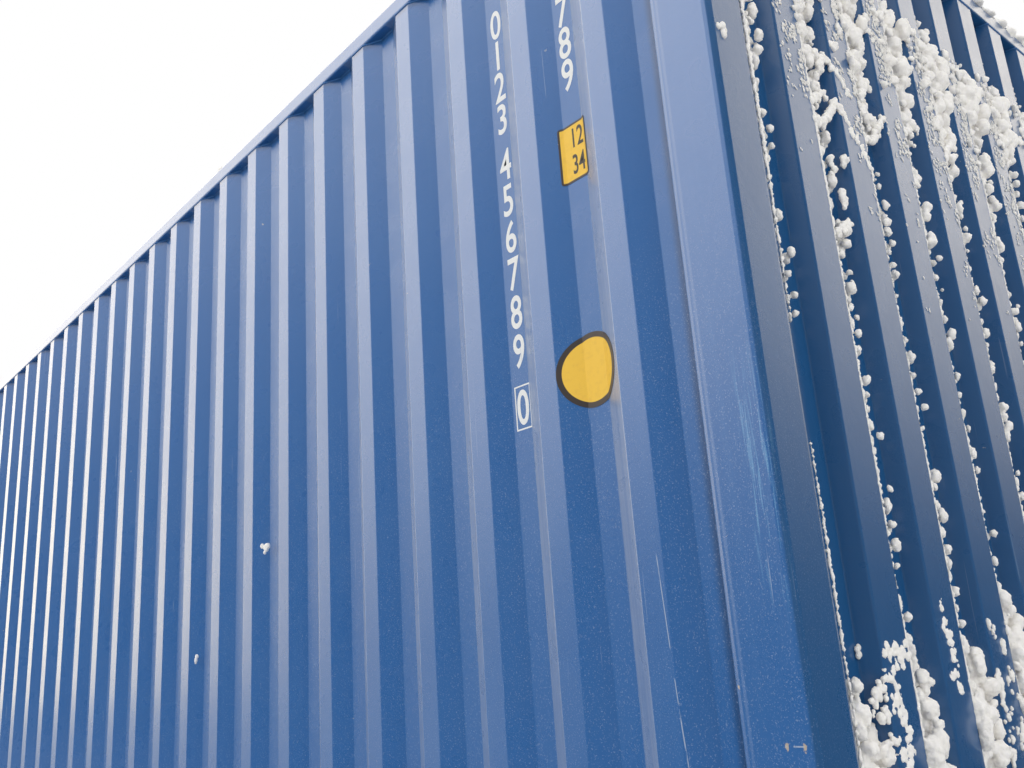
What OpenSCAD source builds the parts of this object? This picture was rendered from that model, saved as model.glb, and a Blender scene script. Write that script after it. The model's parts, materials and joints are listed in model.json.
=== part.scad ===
// Steel dry-cargo container with double doors, drawn with its doors closed, in millimetres.
// X runs along the container with the closed front end at +X, and Z is up.
// The origin is on the ground, under the middle of the container.
// Right and left are those of someone who stands behind the doors and looks forward.

/* [Overall] */
// Length over the corner fittings
length = 12192; // [6058:1:13716]
// Width over the corner fittings
width = 2438; // [2400:1:2600]
// Height over the corner fittings
height = 2896; // [2438:1:3100]
// Drop from the top of the fittings to the top of the roof
roof_drop = 6; // [4:0.5:12]
// Height of the floor's upper face above the ground
floor_top = 170; // [165:1:185]

/* [Corner fittings] */
// Length of a fitting along the container
fitting_l = 178; // [172:1:186]
// Width of a fitting across the container
fitting_w = 162; // [156:1:170]
// Height of a fitting
fitting_h = 118; // [112:1:126]
// Thickness of the plate that holds the lock slot
fitting_plate = 28.5; // [20:0.5:32]
// Thickness of the outer side and end walls
fitting_wall = 15; // [10:0.5:20]
// Thickness of the walls that face the posts and rails
fitting_back = 12; // [8:0.5:16]
// Radius of the fitting's upright edges
fitting_r = 8; // [4:0.5:12]
// Length of the lock slot, end to end
slot_l = 124; // [112:1:128]
// Radius of the slot's round ends
slot_r = 31.75; // [28:0.25:33]
// Distance of the slot's centre from the container's end
slot_end = 103.5; // [98:0.5:104]
// Distance of the slot's centre from the container's side
slot_side = 89.5; // [86:0.5:94]
// Length of the lashing holes in the side and end faces
hole_l = 79.5; // [70:0.5:84]
// Radius of the lashing holes' round ends
hole_r = 25.5; // [22:0.5:27]

/* [Corner posts] */
// Thickness of the pressed post sections
post_t = 6; // [4:0.5:8]
// Inner radius of the post's bends
post_r = 11; // [6:0.5:16]
// Distance of the post's faces from the planes of the fittings' faces
post_inset = 3; // [2:0.5:5]
// Distance from the front plane to the back edge of a front post
front_post_l = 171; // [160:1:172]
// Distance from the side plane to the inner edge of a front post
front_post_w = 147; // [136:1:156]
// Width of the strip along a front post's back edge that is set back
post_strip = 23; // [20:1:36]
// Depth by which that strip is set back
post_set = 1.5; // [0.5:0.1:1.8]
// Length of the slope down to that strip
post_slope = 8; // [6:0.5:14]
// Distance from the rear plane to the front edge of a rear post
rear_post_l = 166; // [160:1:172]
// Thickness of the channel inside a rear post
post_channel_t = 12; // [8:0.5:14]
// Length of that channel's web
post_channel_l = 113; // [100:1:125]
// Length of that channel's flanges
post_channel_w = 40; // [34:1:40]

/* [Side walls] */
// Thickness of the side sheets
side_t = 1.6; // [1.2:0.1:3]
// Distance of the side sheets' outer faces from the side plane
side_inset = 5.4; // [4:0.1:8]
// Depth of the corrugations
side_depth = 36; // [30:0.5:40]
// Width of an outer face
side_outer = 72; // [60:1:90]
// Length along the wall of a slope
side_slope = 68; // [40:1:80]
// Width of an inner face
side_inner = 70; // [60:1:90]
// Inner radius of the sheets' bends
side_r = 5; // [3:0.5:8]
// Distance from the front plane to the first outer face
side_first = 313; // [300:1:330]

/* [Front wall] */
// Thickness of the front sheets
front_t = 2; // [1.6:0.1:3]
// Distance of the front sheets' outer faces from the front plane
front_inset = 5; // [4:0.5:8]
// Depth of the corrugations
front_depth = 45.6; // [38:0.2:48]
// Width of an outer face
front_outer = 110; // [90:1:120]
// Length across the wall of a slope
front_slope = 18; // [14:1:30]
// Width of an inner face
front_inner = 104; // [90:1:120]
// Inner radius of the sheets' bends
front_r = 5; // [3:0.5:8]

/* [Top rails] */
// Side of the square tubes of the top rails and the front header
tube = 60; // [50:1:60]
// Wall of the top rails' tubes
tube_t = 3; // [2.5:0.1:5]
// Outer radius of the tubes' edges
tube_r = 7; // [6:0.5:10]
// Distance of the top side rails from the side plane
top_rail_inset = 4; // [3:0.5:5]
// Distance of the front header and sill from the front plane
front_rail_inset = 4; // [3:0.5:5]

/* [Base frame] */
// Height of the bottom side rails
rail_h = 162; // [158:1:166]
// Thickness of the bottom side rails
rail_t = 4.5; // [4:0.1:6]
// Width of their upper flange, which carries the wall
rail_top_w = 48; // [46:1:52]
// Width of their lower flange
rail_low_w = 30; // [24:1:40]
// Distance of the rails' flange edge from the side plane
rail_inset = 5; // [4:0.5:6]
// Height of the rails' lower face above the ground
rail_z = 14; // [12:0.5:16]
// Wall of the front sill's tube
sill_tube_t = 4; // [3:0.5:6]
// Height of the front sill's upper face above the floor
sill_step = 30; // [24:1:36]
// Thickness of the front sill's lower channels
sill_channel_t = 5; // [4:0.5:6]
// Width of the front sill's lower channels
sill_channel_w = 50; // [45:1:58]
// Height of a cross member
member_h = 122; // [116:1:124]
// Width of a cross member's upper flange
member_top_w = 45; // [40:1:50]
// Width of a cross member's lower flange
member_low_w = 40; // [36:1:45]
// Width of the upper flange under a joint of the floor sheets
member_wide_w = 75; // [70:1:80]
// Thickness of the cross members
member_t = 4; // [3:0.5:5]
// Greatest distance between cross members
member_pitch = 318; // [290:1:360]
// Cross members from one wide member to the next
member_group = 7; // [5:1:9]
// Inner radius of the pressed base sections' bends
base_r = 5; // [3:0.5:8]

/* [Gooseneck tunnel] */
// Length of the tunnel from the front plane
tunnel_l = 3315; // [3150:1:3500]
// Clear width of the tunnel
tunnel_w = 1029; // [1029:1:1070]
// Clear height of the tunnel above the ground
tunnel_h = 124; // [120:0.5:126]
// Thickness of the tunnel plate
tunnel_t = 4; // [3:0.5:5]
// Greatest distance between the tunnel's bows and between outriggers
bow_pitch = 285; // [240:1:340]
// Width of a tunnel bow
bow_w = 90; // [70:1:110]
// Thickness of a tunnel bow
bow_t = 3; // [2:0.5:4]
// Width of the bolster behind the tunnel
bolster_w = 75; // [60:1:90]

/* [Floor] */
// Thickness of the plywood floor
ply_t = 28; // [25:1:30]
// Width of the steel rail along the middle of the floor
floor_rail_w = 50; // [40:1:70]
// Thickness of that rail
floor_rail_t = 4; // [3:0.5:5]

/* [Roof] */
// Thickness of the roof sheets
roof_t = 2; // [1.6:0.1:3]
// Distance from one roof swage to the next
roof_pitch = 209; // [190:1:230]
// Width of a swage's floor
swage_w = 91; // [80:1:100]
// Length along the roof of a swage's slope
swage_slope = 13.5; // [10:0.5:20]
// Depth of the swages
swage_depth = 20; // [16:0.5:24]
// Distance from the side plane to a swage's end
swage_end = 92; // [80:1:120]
// Distance from the side plane to the roof sheets' edge
roof_edge = 20; // [14:1:30]
// Shortest distance from the container's ends to the first swage
roof_flat = 280; // [270:1:300]
// Thickness of the plates on the end frames' headers
roof_plate_t = 3; // [2.5:0.5:4]
// Length of the doubler plates beside the top fittings
doubler_l = 200; // [150:1:260]
// Thickness of the doubler plates
doubler_t = 3; // [2:0.5:4]

/* [Rear frame] */
// Distance of the header's and sill's faces from the rear plane
rear_face = 48; // [46:0.5:52]
// Depth of the door header and of the door sill
rear_depth = 80; // [70:1:95]
// Height of the door header
header_h = 132; // [125:1:150]
// Thickness of the door header
header_t = 4; // [3:0.5:6]
// Height of the lip inside the door header
header_lip = 40; // [20:1:60]
// Thickness of the door sill
sill_t = 4.5; // [3:0.5:6]
// Reach of the rain gutter from the header's face
gutter_w = 30; // [20:1:36]
// Height of the rain gutter's edge
gutter_h = 14; // [8:1:18]
// Thickness of the rain gutter
gutter_t = 3; // [2:0.5:4]
// Drop from the header's top to the gutter
gutter_drop = 18; // [14:1:24]

/* [Doors] */
// Distance of a door leaf's outer face from the rear plane
leaf_face = 57; // [54:0.5:60]
// Thickness of a leaf's frame
leaf_t = 50; // [45:1:55]
// Width of the leaf's upright tubes
stile_w = 100; // [80:1:110]
// Wall of the upright tubes
stile_t = 3.2; // [2.5:0.1:5]
// Height of the leaf's top and bottom channels
leaf_rail_h = 150; // [120:1:170]
// Thickness of those channels
leaf_rail_t = 3; // [2.5:0.1:5]
// Thickness of a leaf's panel
panel_t = 2; // [1.6:0.1:3]
// Number of corrugations across a leaf's panel
panel_count = 5; // [3:1:7]
// Depth of the panel's corrugations
panel_depth = 36; // [25:1:40]
// Height of a corrugation's inner face
panel_inner = 72; // [50:1:90]
// Height of a corrugation's slope
panel_slope = 68; // [30:1:70]
// Gap round each leaf, which the gasket fills
leaf_gap = 10; // [8:0.5:14]
// Depth of the gasket
gasket_d = 22; // [15:1:30]
// Distance of the gasket from the leaf's outer face
gasket_back = 20; // [10:1:25]

/* [Locking gear] */
// Distance of a bar's axis from the rear plane
bar_axis = 27; // [26:0.5:28]
// Radius of a bar
bar_r = 17; // [15:0.5:17]
// Distance from the middle of the doors to the inner bars
bar_in = 240; // [220:1:280]
// Distance from the middle of the doors to the outer bars
bar_out = 830; // [780:1:860]
// Distance from the door opening to the middle of a keeper
keeper_off = 42; // [38:1:44]
// Thickness of a cam and of its keeper's jaws
cam_t = 18; // [14:1:20]
// Depth of a cam's nose
cam_d = 22; // [18:1:26]
// Reach of a cam's nose from the bar's axis
cam_reach = 52; // [46:1:58]
// Width of a keeper's jaws
jaw_w = 22; // [18:1:26]
// Thickness of a keeper's base plate
keeper_t = 6; // [4:0.5:8]
// Height of a bearing bracket
bracket_h = 60; // [40:1:80]
// Width of a bearing bracket's base plate
bracket_w = 110; // [90:1:130]
// Thickness of a bearing bracket's base plate
bracket_t = 6; // [4:0.5:8]
// Distance of a bearing bracket below the outer handle's hub
bracket_off = 60; // [20:1:100]
// Wall of a bearing bracket round its bar
bracket_wall = 6; // [4:0.5:7]
// Running clearance round a bar
bar_gap = 0.3; // [0.2:0.1:0.6]
// Height of the inner bars' handles above the ground
handle_z = 1330; // [1200:1:1500]
// Drop from those to the outer bars' handles
handle_drop = 150; // [120:1:220]
// Length of a handle from its bar
handle_l = 470; // [380:1:480]
// Height of a handle's flat bar
handle_h = 34; // [26:1:40]
// Thickness of a handle's flat bar
handle_t = 10; // [8:0.5:12]
// Height of a handle's hub
hub_h = 90; // [70:1:110]
// Width of a handle's catch
catch_w = 60; // [40:1:80]

/* [Hinges] */
// Hinges of one door
hinge_count = 4; // [3:1:6]
// Distance from the door opening's ends to the end hinges
hinge_end = 260; // [200:1:320]
// Radius of a hinge pin
pin_r = 10; // [8:0.5:11]
// Radius of a hinge's eye
eye_r = 18; // [15:0.5:19]
// Distance of a pin from the post's inner face
pin_off = 20; // [19:0.5:24]
// Distance of a pin from the rear plane
pin_axis = 28; // [26:0.5:30]
// Height of a hinge's blade
blade_h = 70; // [50:1:90]
// Length of a hinge's blade from its pin
blade_l = 115; // [90:1:120]
// Thickness of a hinge's lugs
lug_t = 16; // [12:1:22]

/* [Vents] */
// Width of a vent cover
vent_w = 58; // [50:1:60]
// Height of a vent cover
vent_h = 92; // [70:1:120]
// Reach of a vent cover from the wall
vent_d = 16; // [10:1:25]
// Height of a vent cover's sloping top
vent_slope = 23; // [10:1:35]
// Wall of a vent cover
vent_t = 2; // [1:0.5:3]
// Distance of a vent's middle below the top rail
vent_drop = 130; // [100:1:200]
// Recess that holds the front vent, counted from the first outer face
vent_front = 2; // [1:1:4]
// Recess that holds the rear vent, counted from the last outer face
vent_rear = 2; // [1:1:4]

/* [Hidden] */

paint = [0.14, 0.30, 0.56];
zinc = [0.62, 0.64, 0.66];
ply = [0.55, 0.38, 0.24];
rubber = [0.06, 0.06, 0.07];

$fn = 48;
bend_steps = 3;
wall_steps = 2;

// Overrun of a cut past the faces that it goes through
cut = 1;

// Gap between pieces that seat on each other
seat_gap = 0.3;

half_l = length / 2;
half_w = width / 2;

// Faces that the pieces share
rail_end = half_l - fitting_l;
rail_web_y = half_w - rail_inset - rail_top_w;
rail_top = rail_z + rail_h;
tube_top = height - roof_drop - roof_plate_t;
tube_low = tube_top - tube;
ply_low = floor_top - ply_t;
member_low = ply_low - member_h;
opening_half = half_w - post_inset - post_t - post_channel_w;
opening_top = tube_top - header_h;
opening_h = opening_top - floor_top;
sill_x = half_l - rear_face - rear_depth;
front_rail_x = half_l - front_rail_inset - tube;
front_sill_top = floor_top + sill_step;
front_sill_low = front_sill_top - tube;
tunnel_end = half_l - tunnel_l;
tunnel_side = tunnel_w / 2 + tunnel_t;
leaf_low = floor_top + leaf_gap;
leaf_top = opening_top - leaf_gap;
leaf_in = leaf_gap / 2;
leaf_out = opening_half - leaf_gap;

// Corrugations that fit along each wall
side_pitch = side_outer + side_inner + 2 * side_slope;
side_front_x = half_l - front_post_l;
side_rear_x = rear_post_l - half_l;
side_first_x = half_l - side_first;
side_flat_min = 10;
side_count = floor((side_first_x - side_rear_x - side_flat_min + side_inner) / side_pitch);
front_pitch = front_outer + front_inner + 2 * front_slope;
front_half = half_w - front_post_w;
front_flat_min = 10;
front_count = floor((2 * (front_half - front_flat_min) + front_inner) / front_pitch);
roof_count = floor(2 * (half_l - roof_flat) / roof_pitch);

// Direction on the left of the way from a to b
function left_of(a, b) = [a.y - b.y, b.x - a.x] / norm(b - a);

// One bend of a folded sheet's face, off to the left of the sheet's middle line
function bend(a, b, c, off, r, steps) =
    let (
        n1 = left_of(a, b),
        n2 = left_of(b, c),
        s = sign(cross(n1, n2)),
        middle = b + (n1 + n2) * s * r / (1 + n1 * n2),
        start = atan2(n1.y, n1.x),
        turn = s * acos(n1 * n2)
    )
    [for (i = [0:steps]) let (q = start + turn * i / steps)
        middle + (off - s * r) * [cos(q), sin(q)]];

// One face of a folded sheet from end to end
function face_line(path, off, r, steps) =
    let (last = len(path) - 1)
    concat(
        [path[0] + off * left_of(path[0], path[1])],
        [for (i = [1:last - 1]) each bend(path[i - 1], path[i], path[i + 1], off, r, steps)],
        [path[last] + off * left_of(path[last - 1], path[last])]
    );

// Outline of a sheet of thickness t folded along its middle line, with inner bend radius r
function folded(path, t, r, steps = bend_steps) =
    let (back = face_line(path, -t / 2, r + t / 2, steps))
    concat(
        face_line(path, t / 2, r + t / 2, steps),
        [for (i = [len(back) - 1:-1:0]) back[i]]
    );

// Outline of a rectangle with round corners, its low corner at the origin
function round_rect(w, h, r) =
    let (corners = [[w - r, h - r], [r, h - r], [r, r], [w - r, r]])
    [for (k = [0:3]) for (i = [0:bend_steps])
        corners[k] + r * [cos(90 * (k + i / bend_steps)), sin(90 * (k + i / bend_steps))]];

// Positions that split a length into equal steps of at most pitch, ends left out
function spaced(from, to, pitch) =
    let (steps = ceil((to - from) / pitch))
    [for (i = [1:steps - 1]) from + (to - from) * i / steps];

// Outline across Y and Z, drawn out along X
module along_x(x0, x1) {
    translate([x0, 0, 0]) rotate([90, 0, 90]) linear_extrude(x1 - x0) children();
}

// Outline across X and Z, drawn out along Y
module along_y(y0, y1) {
    translate([0, y1, 0]) rotate([90, 0, 0]) linear_extrude(y1 - y0) children();
}

// Outline across X and Y, drawn out along Z
module along_z(z0, z1) {
    translate([0, 0, z0]) linear_extrude(z1 - z0) children();
}

// Mirrors what is drawn at the front to the rear, or at the left to the right
module at_end(front) {
    mirror([front ? 0 : 1, 0, 0]) children();
}
module at_side(left) {
    mirror([0, left ? 0 : 1, 0]) children();
}
module both_sides() {
    for (left = [false, true]) at_side(left) children();
}

// Square tube section with its low corner at the origin
module tube_section(w, h, t) {
    difference() {
        polygon(round_rect(w, h, tube_r));
        translate([t, t]) polygon(round_rect(w - 2 * t, h - 2 * t, tube_r - t));
    }
}

// Hole with round ends, lying along X and cut along Z
module long_hole(l, r, depth) {
    translate([r - l / 2, -r, 0]) cube([l - 2 * r, 2 * r, depth]);
    for (s = [-1, 1]) translate([s * (l / 2 - r), 0, 0]) cylinder(depth, r, r);
}

// Space that the eight corner fittings fill
module fitting_space() {
    for (x = [-half_l, rail_end], y = [-half_w, half_w - fitting_w], z = [0, height - fitting_h])
        translate([x, y, z]) cube([fitting_l, fitting_w, fitting_h]);
}

// Casting with its outer corner at the origin and its slotted plate below
module casting() {
    cavity = [
        fitting_l - fitting_wall - fitting_back,
        fitting_w - fitting_wall - fitting_back,
        fitting_h - fitting_plate - fitting_back
    ];
    hole_z = fitting_plate + cavity.z / 2;
    difference() {
        linear_extrude(fitting_h) polygon(round_rect(fitting_l, fitting_w, fitting_r));
        translate([fitting_wall, fitting_wall, fitting_plate]) cube(cavity);
        translate([slot_end, slot_side, -cut]) long_hole(slot_l, slot_r, fitting_plate + 2 * cut);
        translate([fitting_wall + cavity.x / 2, fitting_wall + cut, hole_z])
            rotate([90, 0, 0]) long_hole(hole_l, hole_r, fitting_wall + 2 * cut);
        translate([-cut, fitting_wall + cavity.y / 2, hole_z])
            rotate([90, 0, 90]) long_hole(hole_l, hole_r, fitting_wall + 2 * cut);
    }
}

module corner_fitting(front, left, top) {
    color(paint) at_end(front) at_side(left)
        translate([half_l, half_w, top ? height : 0])
        mirror([0, 0, top ? 1 : 0]) mirror([1, 0, 0]) mirror([0, 1, 0]) casting();
}

// Front post: one open pressing round the corner, with a leg behind each wall's end
// and a strip of its side face set back along its back edge
module front_post(left) {
    face = post_inset + post_t / 2;
    side_leg = side_inset + side_depth + side_t + post_t;
    front_leg = front_inset + front_depth + front_t + post_t;
    strip_x = half_l - front_post_l + post_strip;
    path = [
        [half_l - front_leg, half_w - front_post_w + post_t / 2],
        [half_l - face, half_w - front_post_w + post_t / 2],
        [half_l - face, half_w - face],
        [strip_x + post_slope, half_w - face],
        [strip_x, half_w - face - post_set],
        [half_l - front_post_l + post_t / 2, half_w - face - post_set],
        [half_l - front_post_l + post_t / 2, half_w - side_leg]
    ];
    color(paint) at_side(left) along_z(fitting_h, height - fitting_h)
        polygon(folded(path, post_t, post_r));
}

// Rear post: an outer pressing with a thick channel welded inside it
module rear_post(left) {
    face = post_inset + post_t / 2;
    back = post_inset + post_t;
    side_leg = side_inset + side_depth + side_t + post_t;
    outer = [
        [half_l - face, opening_half],
        [half_l - face, half_w - face],
        [half_l - rear_post_l + post_t / 2, half_w - face],
        [half_l - rear_post_l + post_t / 2, half_w - side_leg]
    ];
    color(paint) at_end(false) at_side(left) along_z(fitting_h, height - fitting_h) {
        polygon(folded(outer, post_t, post_r));
        difference() {
            translate([half_l - back - post_channel_l, opening_half])
                square([post_channel_l, post_channel_w]);
            translate([half_l - back - post_channel_l + post_channel_t, opening_half + post_channel_t])
                square([post_channel_l - 2 * post_channel_t, post_channel_w]);
            polygon(folded(outer, post_t, post_r));
            translate([half_l - back - post_r, half_w - back - post_r]) square(post_r);
        }
    }
}

module front_header() {
    y = half_w - fitting_w;
    color(paint) along_y(-y, y)
        translate([front_rail_x, tube_low]) tube_section(tube, tube, tube_t);
}

// Front sill: a tube from post to post, over a channel on each side of the tunnel
module front_sill() {
    x = half_l - front_rail_inset - sill_channel_t / 2;
    low = rail_z + sill_channel_t / 2;
    high = front_sill_low - sill_channel_t / 2;
    inner_x = half_l - front_rail_inset - sill_channel_w;
    channel = [[inner_x, high], [x, high], [x, low], [inner_x, low]];
    color(paint) {
        along_y(-front_half, front_half)
            translate([front_rail_x, front_sill_low]) tube_section(tube, tube, sill_tube_t);
        both_sides() along_y(tunnel_side, half_w - fitting_w)
            polygon(folded(channel, sill_channel_t, base_r));
    }
}

// Door header: a folded beam between the fittings, with its lower part carried on below them
module door_header() {
    x0 = half_l - rear_face - header_t / 2;
    x1 = half_l - rear_face - rear_depth + header_t / 2;
    low = opening_top + header_t / 2;
    high = tube_top - header_t / 2;
    path = [[x1 - header_t / 2, high], [x0, high], [x0, low], [x1, low], [x1, low + header_lip]];
    section = folded(path, header_t, base_r);
    y = half_w - fitting_w;
    color(paint) at_end(false) {
        along_y(-y, y) polygon(section);
        difference() {
            both_sides() along_y(y + seat_gap, opening_half) polygon(section);
            at_end(false) fitting_space();
        }
    }
}

module door_sill() {
    x0 = half_l - rear_face - sill_t / 2;
    low = rail_z + sill_t / 2;
    high = floor_top - sill_t / 2;
    path = [[sill_x, high], [x0, high], [x0, low], [sill_x, low]];
    color(paint) difference() {
        at_end(false) along_y(-opening_half, opening_half) polygon(folded(path, sill_t, base_r));
        fitting_space();
    }
}

module rain_gutter() {
    y = half_w - fitting_w;
    z = tube_top - gutter_drop + gutter_t / 2;
    x = half_l - rear_face;
    tip = x + gutter_w - gutter_t / 2;
    path = [[x, z], [tip, z], [tip, z + gutter_h]];
    color(paint) at_end(false) along_y(-y, y) polygon(folded(path, gutter_t, gutter_t / 2));
}

module top_rail(left) {
    color(paint) at_side(left) along_x(-rail_end, rail_end)
        translate([half_w - top_rail_inset - tube, tube_low]) tube_section(tube, tube, tube_t);
}

// Bottom side rail: its web stands inside and both flanges point outwards
module bottom_rail(left) {
    web = rail_web_y + rail_t / 2;
    high = rail_top - rail_t / 2;
    low = rail_z + rail_t / 2;
    path = [
        [rail_web_y + rail_top_w, high], [web, high], [web, low], [rail_web_y + rail_low_w, low]
    ];
    color(paint) difference() {
        at_side(left) along_x(side_rear_x, side_front_x) polygon(folded(path, rail_t, base_r));
        fitting_space();
    }
}

module side_wall(left) {
    out = half_w - side_inset - side_t / 2;
    in = out - side_depth;
    waves = [for (k = [0:side_count - 1]) let (x = side_first_x - k * side_pitch) each [
        [x + side_slope, in], [x, out],
        [x - side_outer, out], [x - side_outer - side_slope, in]
    ]];
    path = concat([[side_front_x, in]], waves, [[side_rear_x, in]]);
    color(paint) difference() {
        at_side(left) along_z(rail_top, tube_low) polygon(folded(path, side_t, side_r, wall_steps));
        fitting_space();
    }
}

module front_wall() {
    out = half_l - front_inset - front_t / 2;
    in = out - front_depth;
    half_out = front_outer / 2;
    first = -(front_count - 1) / 2 * front_pitch;
    waves = [for (k = [0:front_count - 1]) let (y = first + k * front_pitch) each [
        [in, y - half_out - front_slope], [out, y - half_out],
        [out, y + half_out], [in, y + half_out + front_slope]
    ]];
    path = concat([[in, -front_half]], waves, [[in, front_half]]);
    color(paint) difference() {
        along_z(front_sill_top, tube_low) polygon(folded(path, front_t, front_r));
        fitting_space();
    }
}

// Swages across the roof as solid bodies, narrower by a margin all round
module swages(margin, top, floor_z) {
    w = swage_w / 2 - margin;
    slope = swage_slope * (top - floor_z) / swage_depth;
    y = half_w - swage_end - margin;
    intersection() {
        along_y(-half_w, half_w) for (k = [0:roof_count - 1]) {
            x = (k - (roof_count - 1) / 2) * roof_pitch;
            polygon([[x - w - slope, top], [x + w + slope, top], [x + w, floor_z], [x - w, floor_z]]);
        }
        along_x(-half_l, half_l)
            polygon([[-y, top], [y, top], [y - slope, floor_z], [slope - y, floor_z]]);
    }
}

// Roof: flat at its edges, where it lies on the rails, with swages pressed down across it
module roof() {
    y = half_w - roof_edge;
    top = tube_top + roof_t;
    color(paint) difference() {
        union() {
            translate([-rail_end, -y, tube_top]) cube([2 * rail_end, 2 * y, roof_t]);
            swages(0, top - roof_t / 2, top - swage_depth - roof_t);
        }
        swages(roof_t / 2, top + cut, top - swage_depth);
    }
}

// Plates on the end frames' headers, from one top fitting to the other
module roof_end_plates() {
    inner = half_w - fitting_w;
    color(paint) for (front = [false, true]) at_end(front) translate([rail_end, -inner, tube_top])
        cube([fitting_l - (front ? front_rail_inset : rear_face), 2 * inner, roof_plate_t]);
}

module roof_doublers() {
    color(paint) for (front = [false, true]) at_end(front) both_sides()
        translate([rail_end - doubler_l, half_w - fitting_w, tube_top + roof_t])
        cube([doubler_l, fitting_w - roof_edge, doubler_t]);
}

// Pressed channel under the floor, with its web at x
module member(x, top_w, y0, y1) {
    web = x + member_t / 2;
    high = ply_low - member_t / 2;
    low = member_low + member_t / 2;
    path = [[x + top_w, high], [web, high], [web, low], [x + member_low_w, low]];
    along_y(y0, y1) polygon(folded(path, member_t, base_r));
}

module cross_members() {
    places = spaced(-sill_x, tunnel_end - bolster_w, member_pitch);
    color(paint) for (i = [0:len(places) - 1])
        member(places[i], (i + 1) % member_group == 0 ? member_wide_w : member_top_w,
            -rail_web_y, rail_web_y);
}

module outriggers() {
    color(paint) for (x = spaced(tunnel_end, front_rail_x, bow_pitch))
        both_sides() member(x, member_top_w, tunnel_side, rail_web_y);
}

module tunnel_plate() {
    side = tunnel_side - tunnel_t / 2;
    roof_z = tunnel_h + tunnel_t / 2;
    path = [[-side, rail_z], [-side, roof_z], [side, roof_z], [side, rail_z]];
    color(paint) along_x(tunnel_end, half_l - front_rail_inset)
        polygon(folded(path, tunnel_t, base_r));
}

module tunnel_bows() {
    low = tunnel_h + tunnel_t;
    high = ply_low - bow_t / 2;
    edge = bow_w / 2 - bow_t / 2;
    color(paint) for (x = spaced(tunnel_end, front_rail_x, bow_pitch)) {
        path = [[x - edge, low], [x - edge, high], [x + edge, high], [x + edge, low]];
        along_y(-tunnel_w / 2, tunnel_w / 2) polygon(folded(path, bow_t, bow_t / 2));
    }
}

module tunnel_bolster() {
    x0 = tunnel_end - bolster_w;
    x1 = tunnel_end - member_t / 2;
    high = ply_low - member_t / 2;
    low = rail_z + member_t / 2;
    path = [[x0, high], [x1, high], [x1, low], [x0, low]];
    color(paint) along_y(-rail_web_y, rail_web_y) polygon(folded(path, member_t, base_r));
}

module floor_boards() {
    y = floor_rail_w / 2;
    color(ply) both_sides() translate([-sill_x, y, ply_low])
        cube([front_rail_x + sill_x, rail_web_y - y, ply_t]);
}

// Steel strip that parts the floor's two rows of boards, folded down at its edges
module floor_rail() {
    y = floor_rail_w / 2 - floor_rail_t / 2;
    high = floor_top - floor_rail_t / 2;
    path = [[-y, ply_low], [-y, high], [y, high], [y, ply_low]];
    color(paint) along_x(-sill_x, front_rail_x) polygon(folded(path, floor_rail_t, floor_rail_t / 2));
}

// Door leaf: two upright tubes, a channel at top and bottom and a corrugated panel
module door(left) {
    out = half_l - leaf_face;
    in = out - leaf_t;
    panel_y0 = leaf_in + stile_w;
    panel_y1 = leaf_out - stile_w;
    low = leaf_low + leaf_rail_h;
    high = leaf_top - leaf_rail_h;
    channel_x = out - leaf_rail_t / 2;
    flange = leaf_rail_t / 2;
    channel = [[in, flange], [channel_x, flange], [channel_x, leaf_rail_h - flange],
        [in, leaf_rail_h - flange]];
    face = out - panel_t / 2;
    deep = face - panel_depth;
    wave = panel_inner + 2 * panel_slope;
    flat = (high - low - panel_count * wave) / (panel_count + 1);
    waves = [for (k = [0:panel_count - 1]) let (z = low + flat + k * (flat + wave)) each [
        [face, z], [deep, z + panel_slope],
        [deep, z + panel_slope + panel_inner], [face, z + wave]
    ]];
    path = concat([[face, low]], waves, [[face, high]]);
    color(paint) at_end(false) at_side(left) {
        for (y = [leaf_in, leaf_out - stile_w]) along_z(leaf_low, leaf_top)
            translate([in, y]) tube_section(leaf_t, stile_w, stile_t);
        for (z = [leaf_low, leaf_top - leaf_rail_h]) along_y(panel_y0, panel_y1)
            translate([0, z]) polygon(folded(channel, leaf_rail_t, leaf_rail_t));
        along_y(panel_y0, panel_y1) polygon(folded(path, panel_t, side_r));
    }
}

module door_gaskets() {
    x = half_l - leaf_face - gasket_back;
    color(rubber) at_end(false) both_sides() along_x(x - gasket_d, x) difference() {
        translate([seat_gap, floor_top]) square([opening_half - seat_gap, opening_h]);
        translate([leaf_in, leaf_low]) square([leaf_out - leaf_in, leaf_top - leaf_low]);
    }
}

// Places across one door where its bars run
bar_places = [bar_in, bar_out];
bar_low = floor_top - keeper_off;
bar_top = opening_top + keeper_off;

module at_bars() {
    at_end(false) both_sides() for (y = bar_places) translate([half_l - bar_axis, y, 0]) children();
}

// Distance from a bar's axis out to the inner face of its cams
cam_x = bar_axis - rear_face + keeper_t + bar_gap;

// Bar with a cam at each end, whose nose stands beside the bar
module locking_bars() {
    color(zinc) at_bars() {
        translate([0, 0, bar_low - cam_t / 2]) cylinder(bar_top - bar_low + cam_t, bar_r, bar_r);
        for (z = [bar_low, bar_top]) translate([cam_x, 0, z - cam_t / 2])
            cube([cam_d, cam_reach, cam_t]);
    }
}

// Keeper: a base plate on the frame with a jaw above and below the cam's nose
module cam_keepers() {
    back = bar_axis - rear_face;
    plate_h = 3 * cam_t + 2 * bar_gap;
    jaw_y = cam_reach - jaw_w / 2;
    color(zinc) at_bars() for (z = [bar_low, bar_top]) {
        translate([back, bar_r + bar_gap, z - plate_h / 2])
            cube([keeper_t, jaw_y + jaw_w - bar_r - bar_gap, plate_h]);
        for (s = [-1, 1]) translate([back, jaw_y, z + s * (cam_t + bar_gap) - cam_t / 2])
            cube([keeper_t + cam_d, jaw_w, cam_t]);
    }
}

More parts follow.
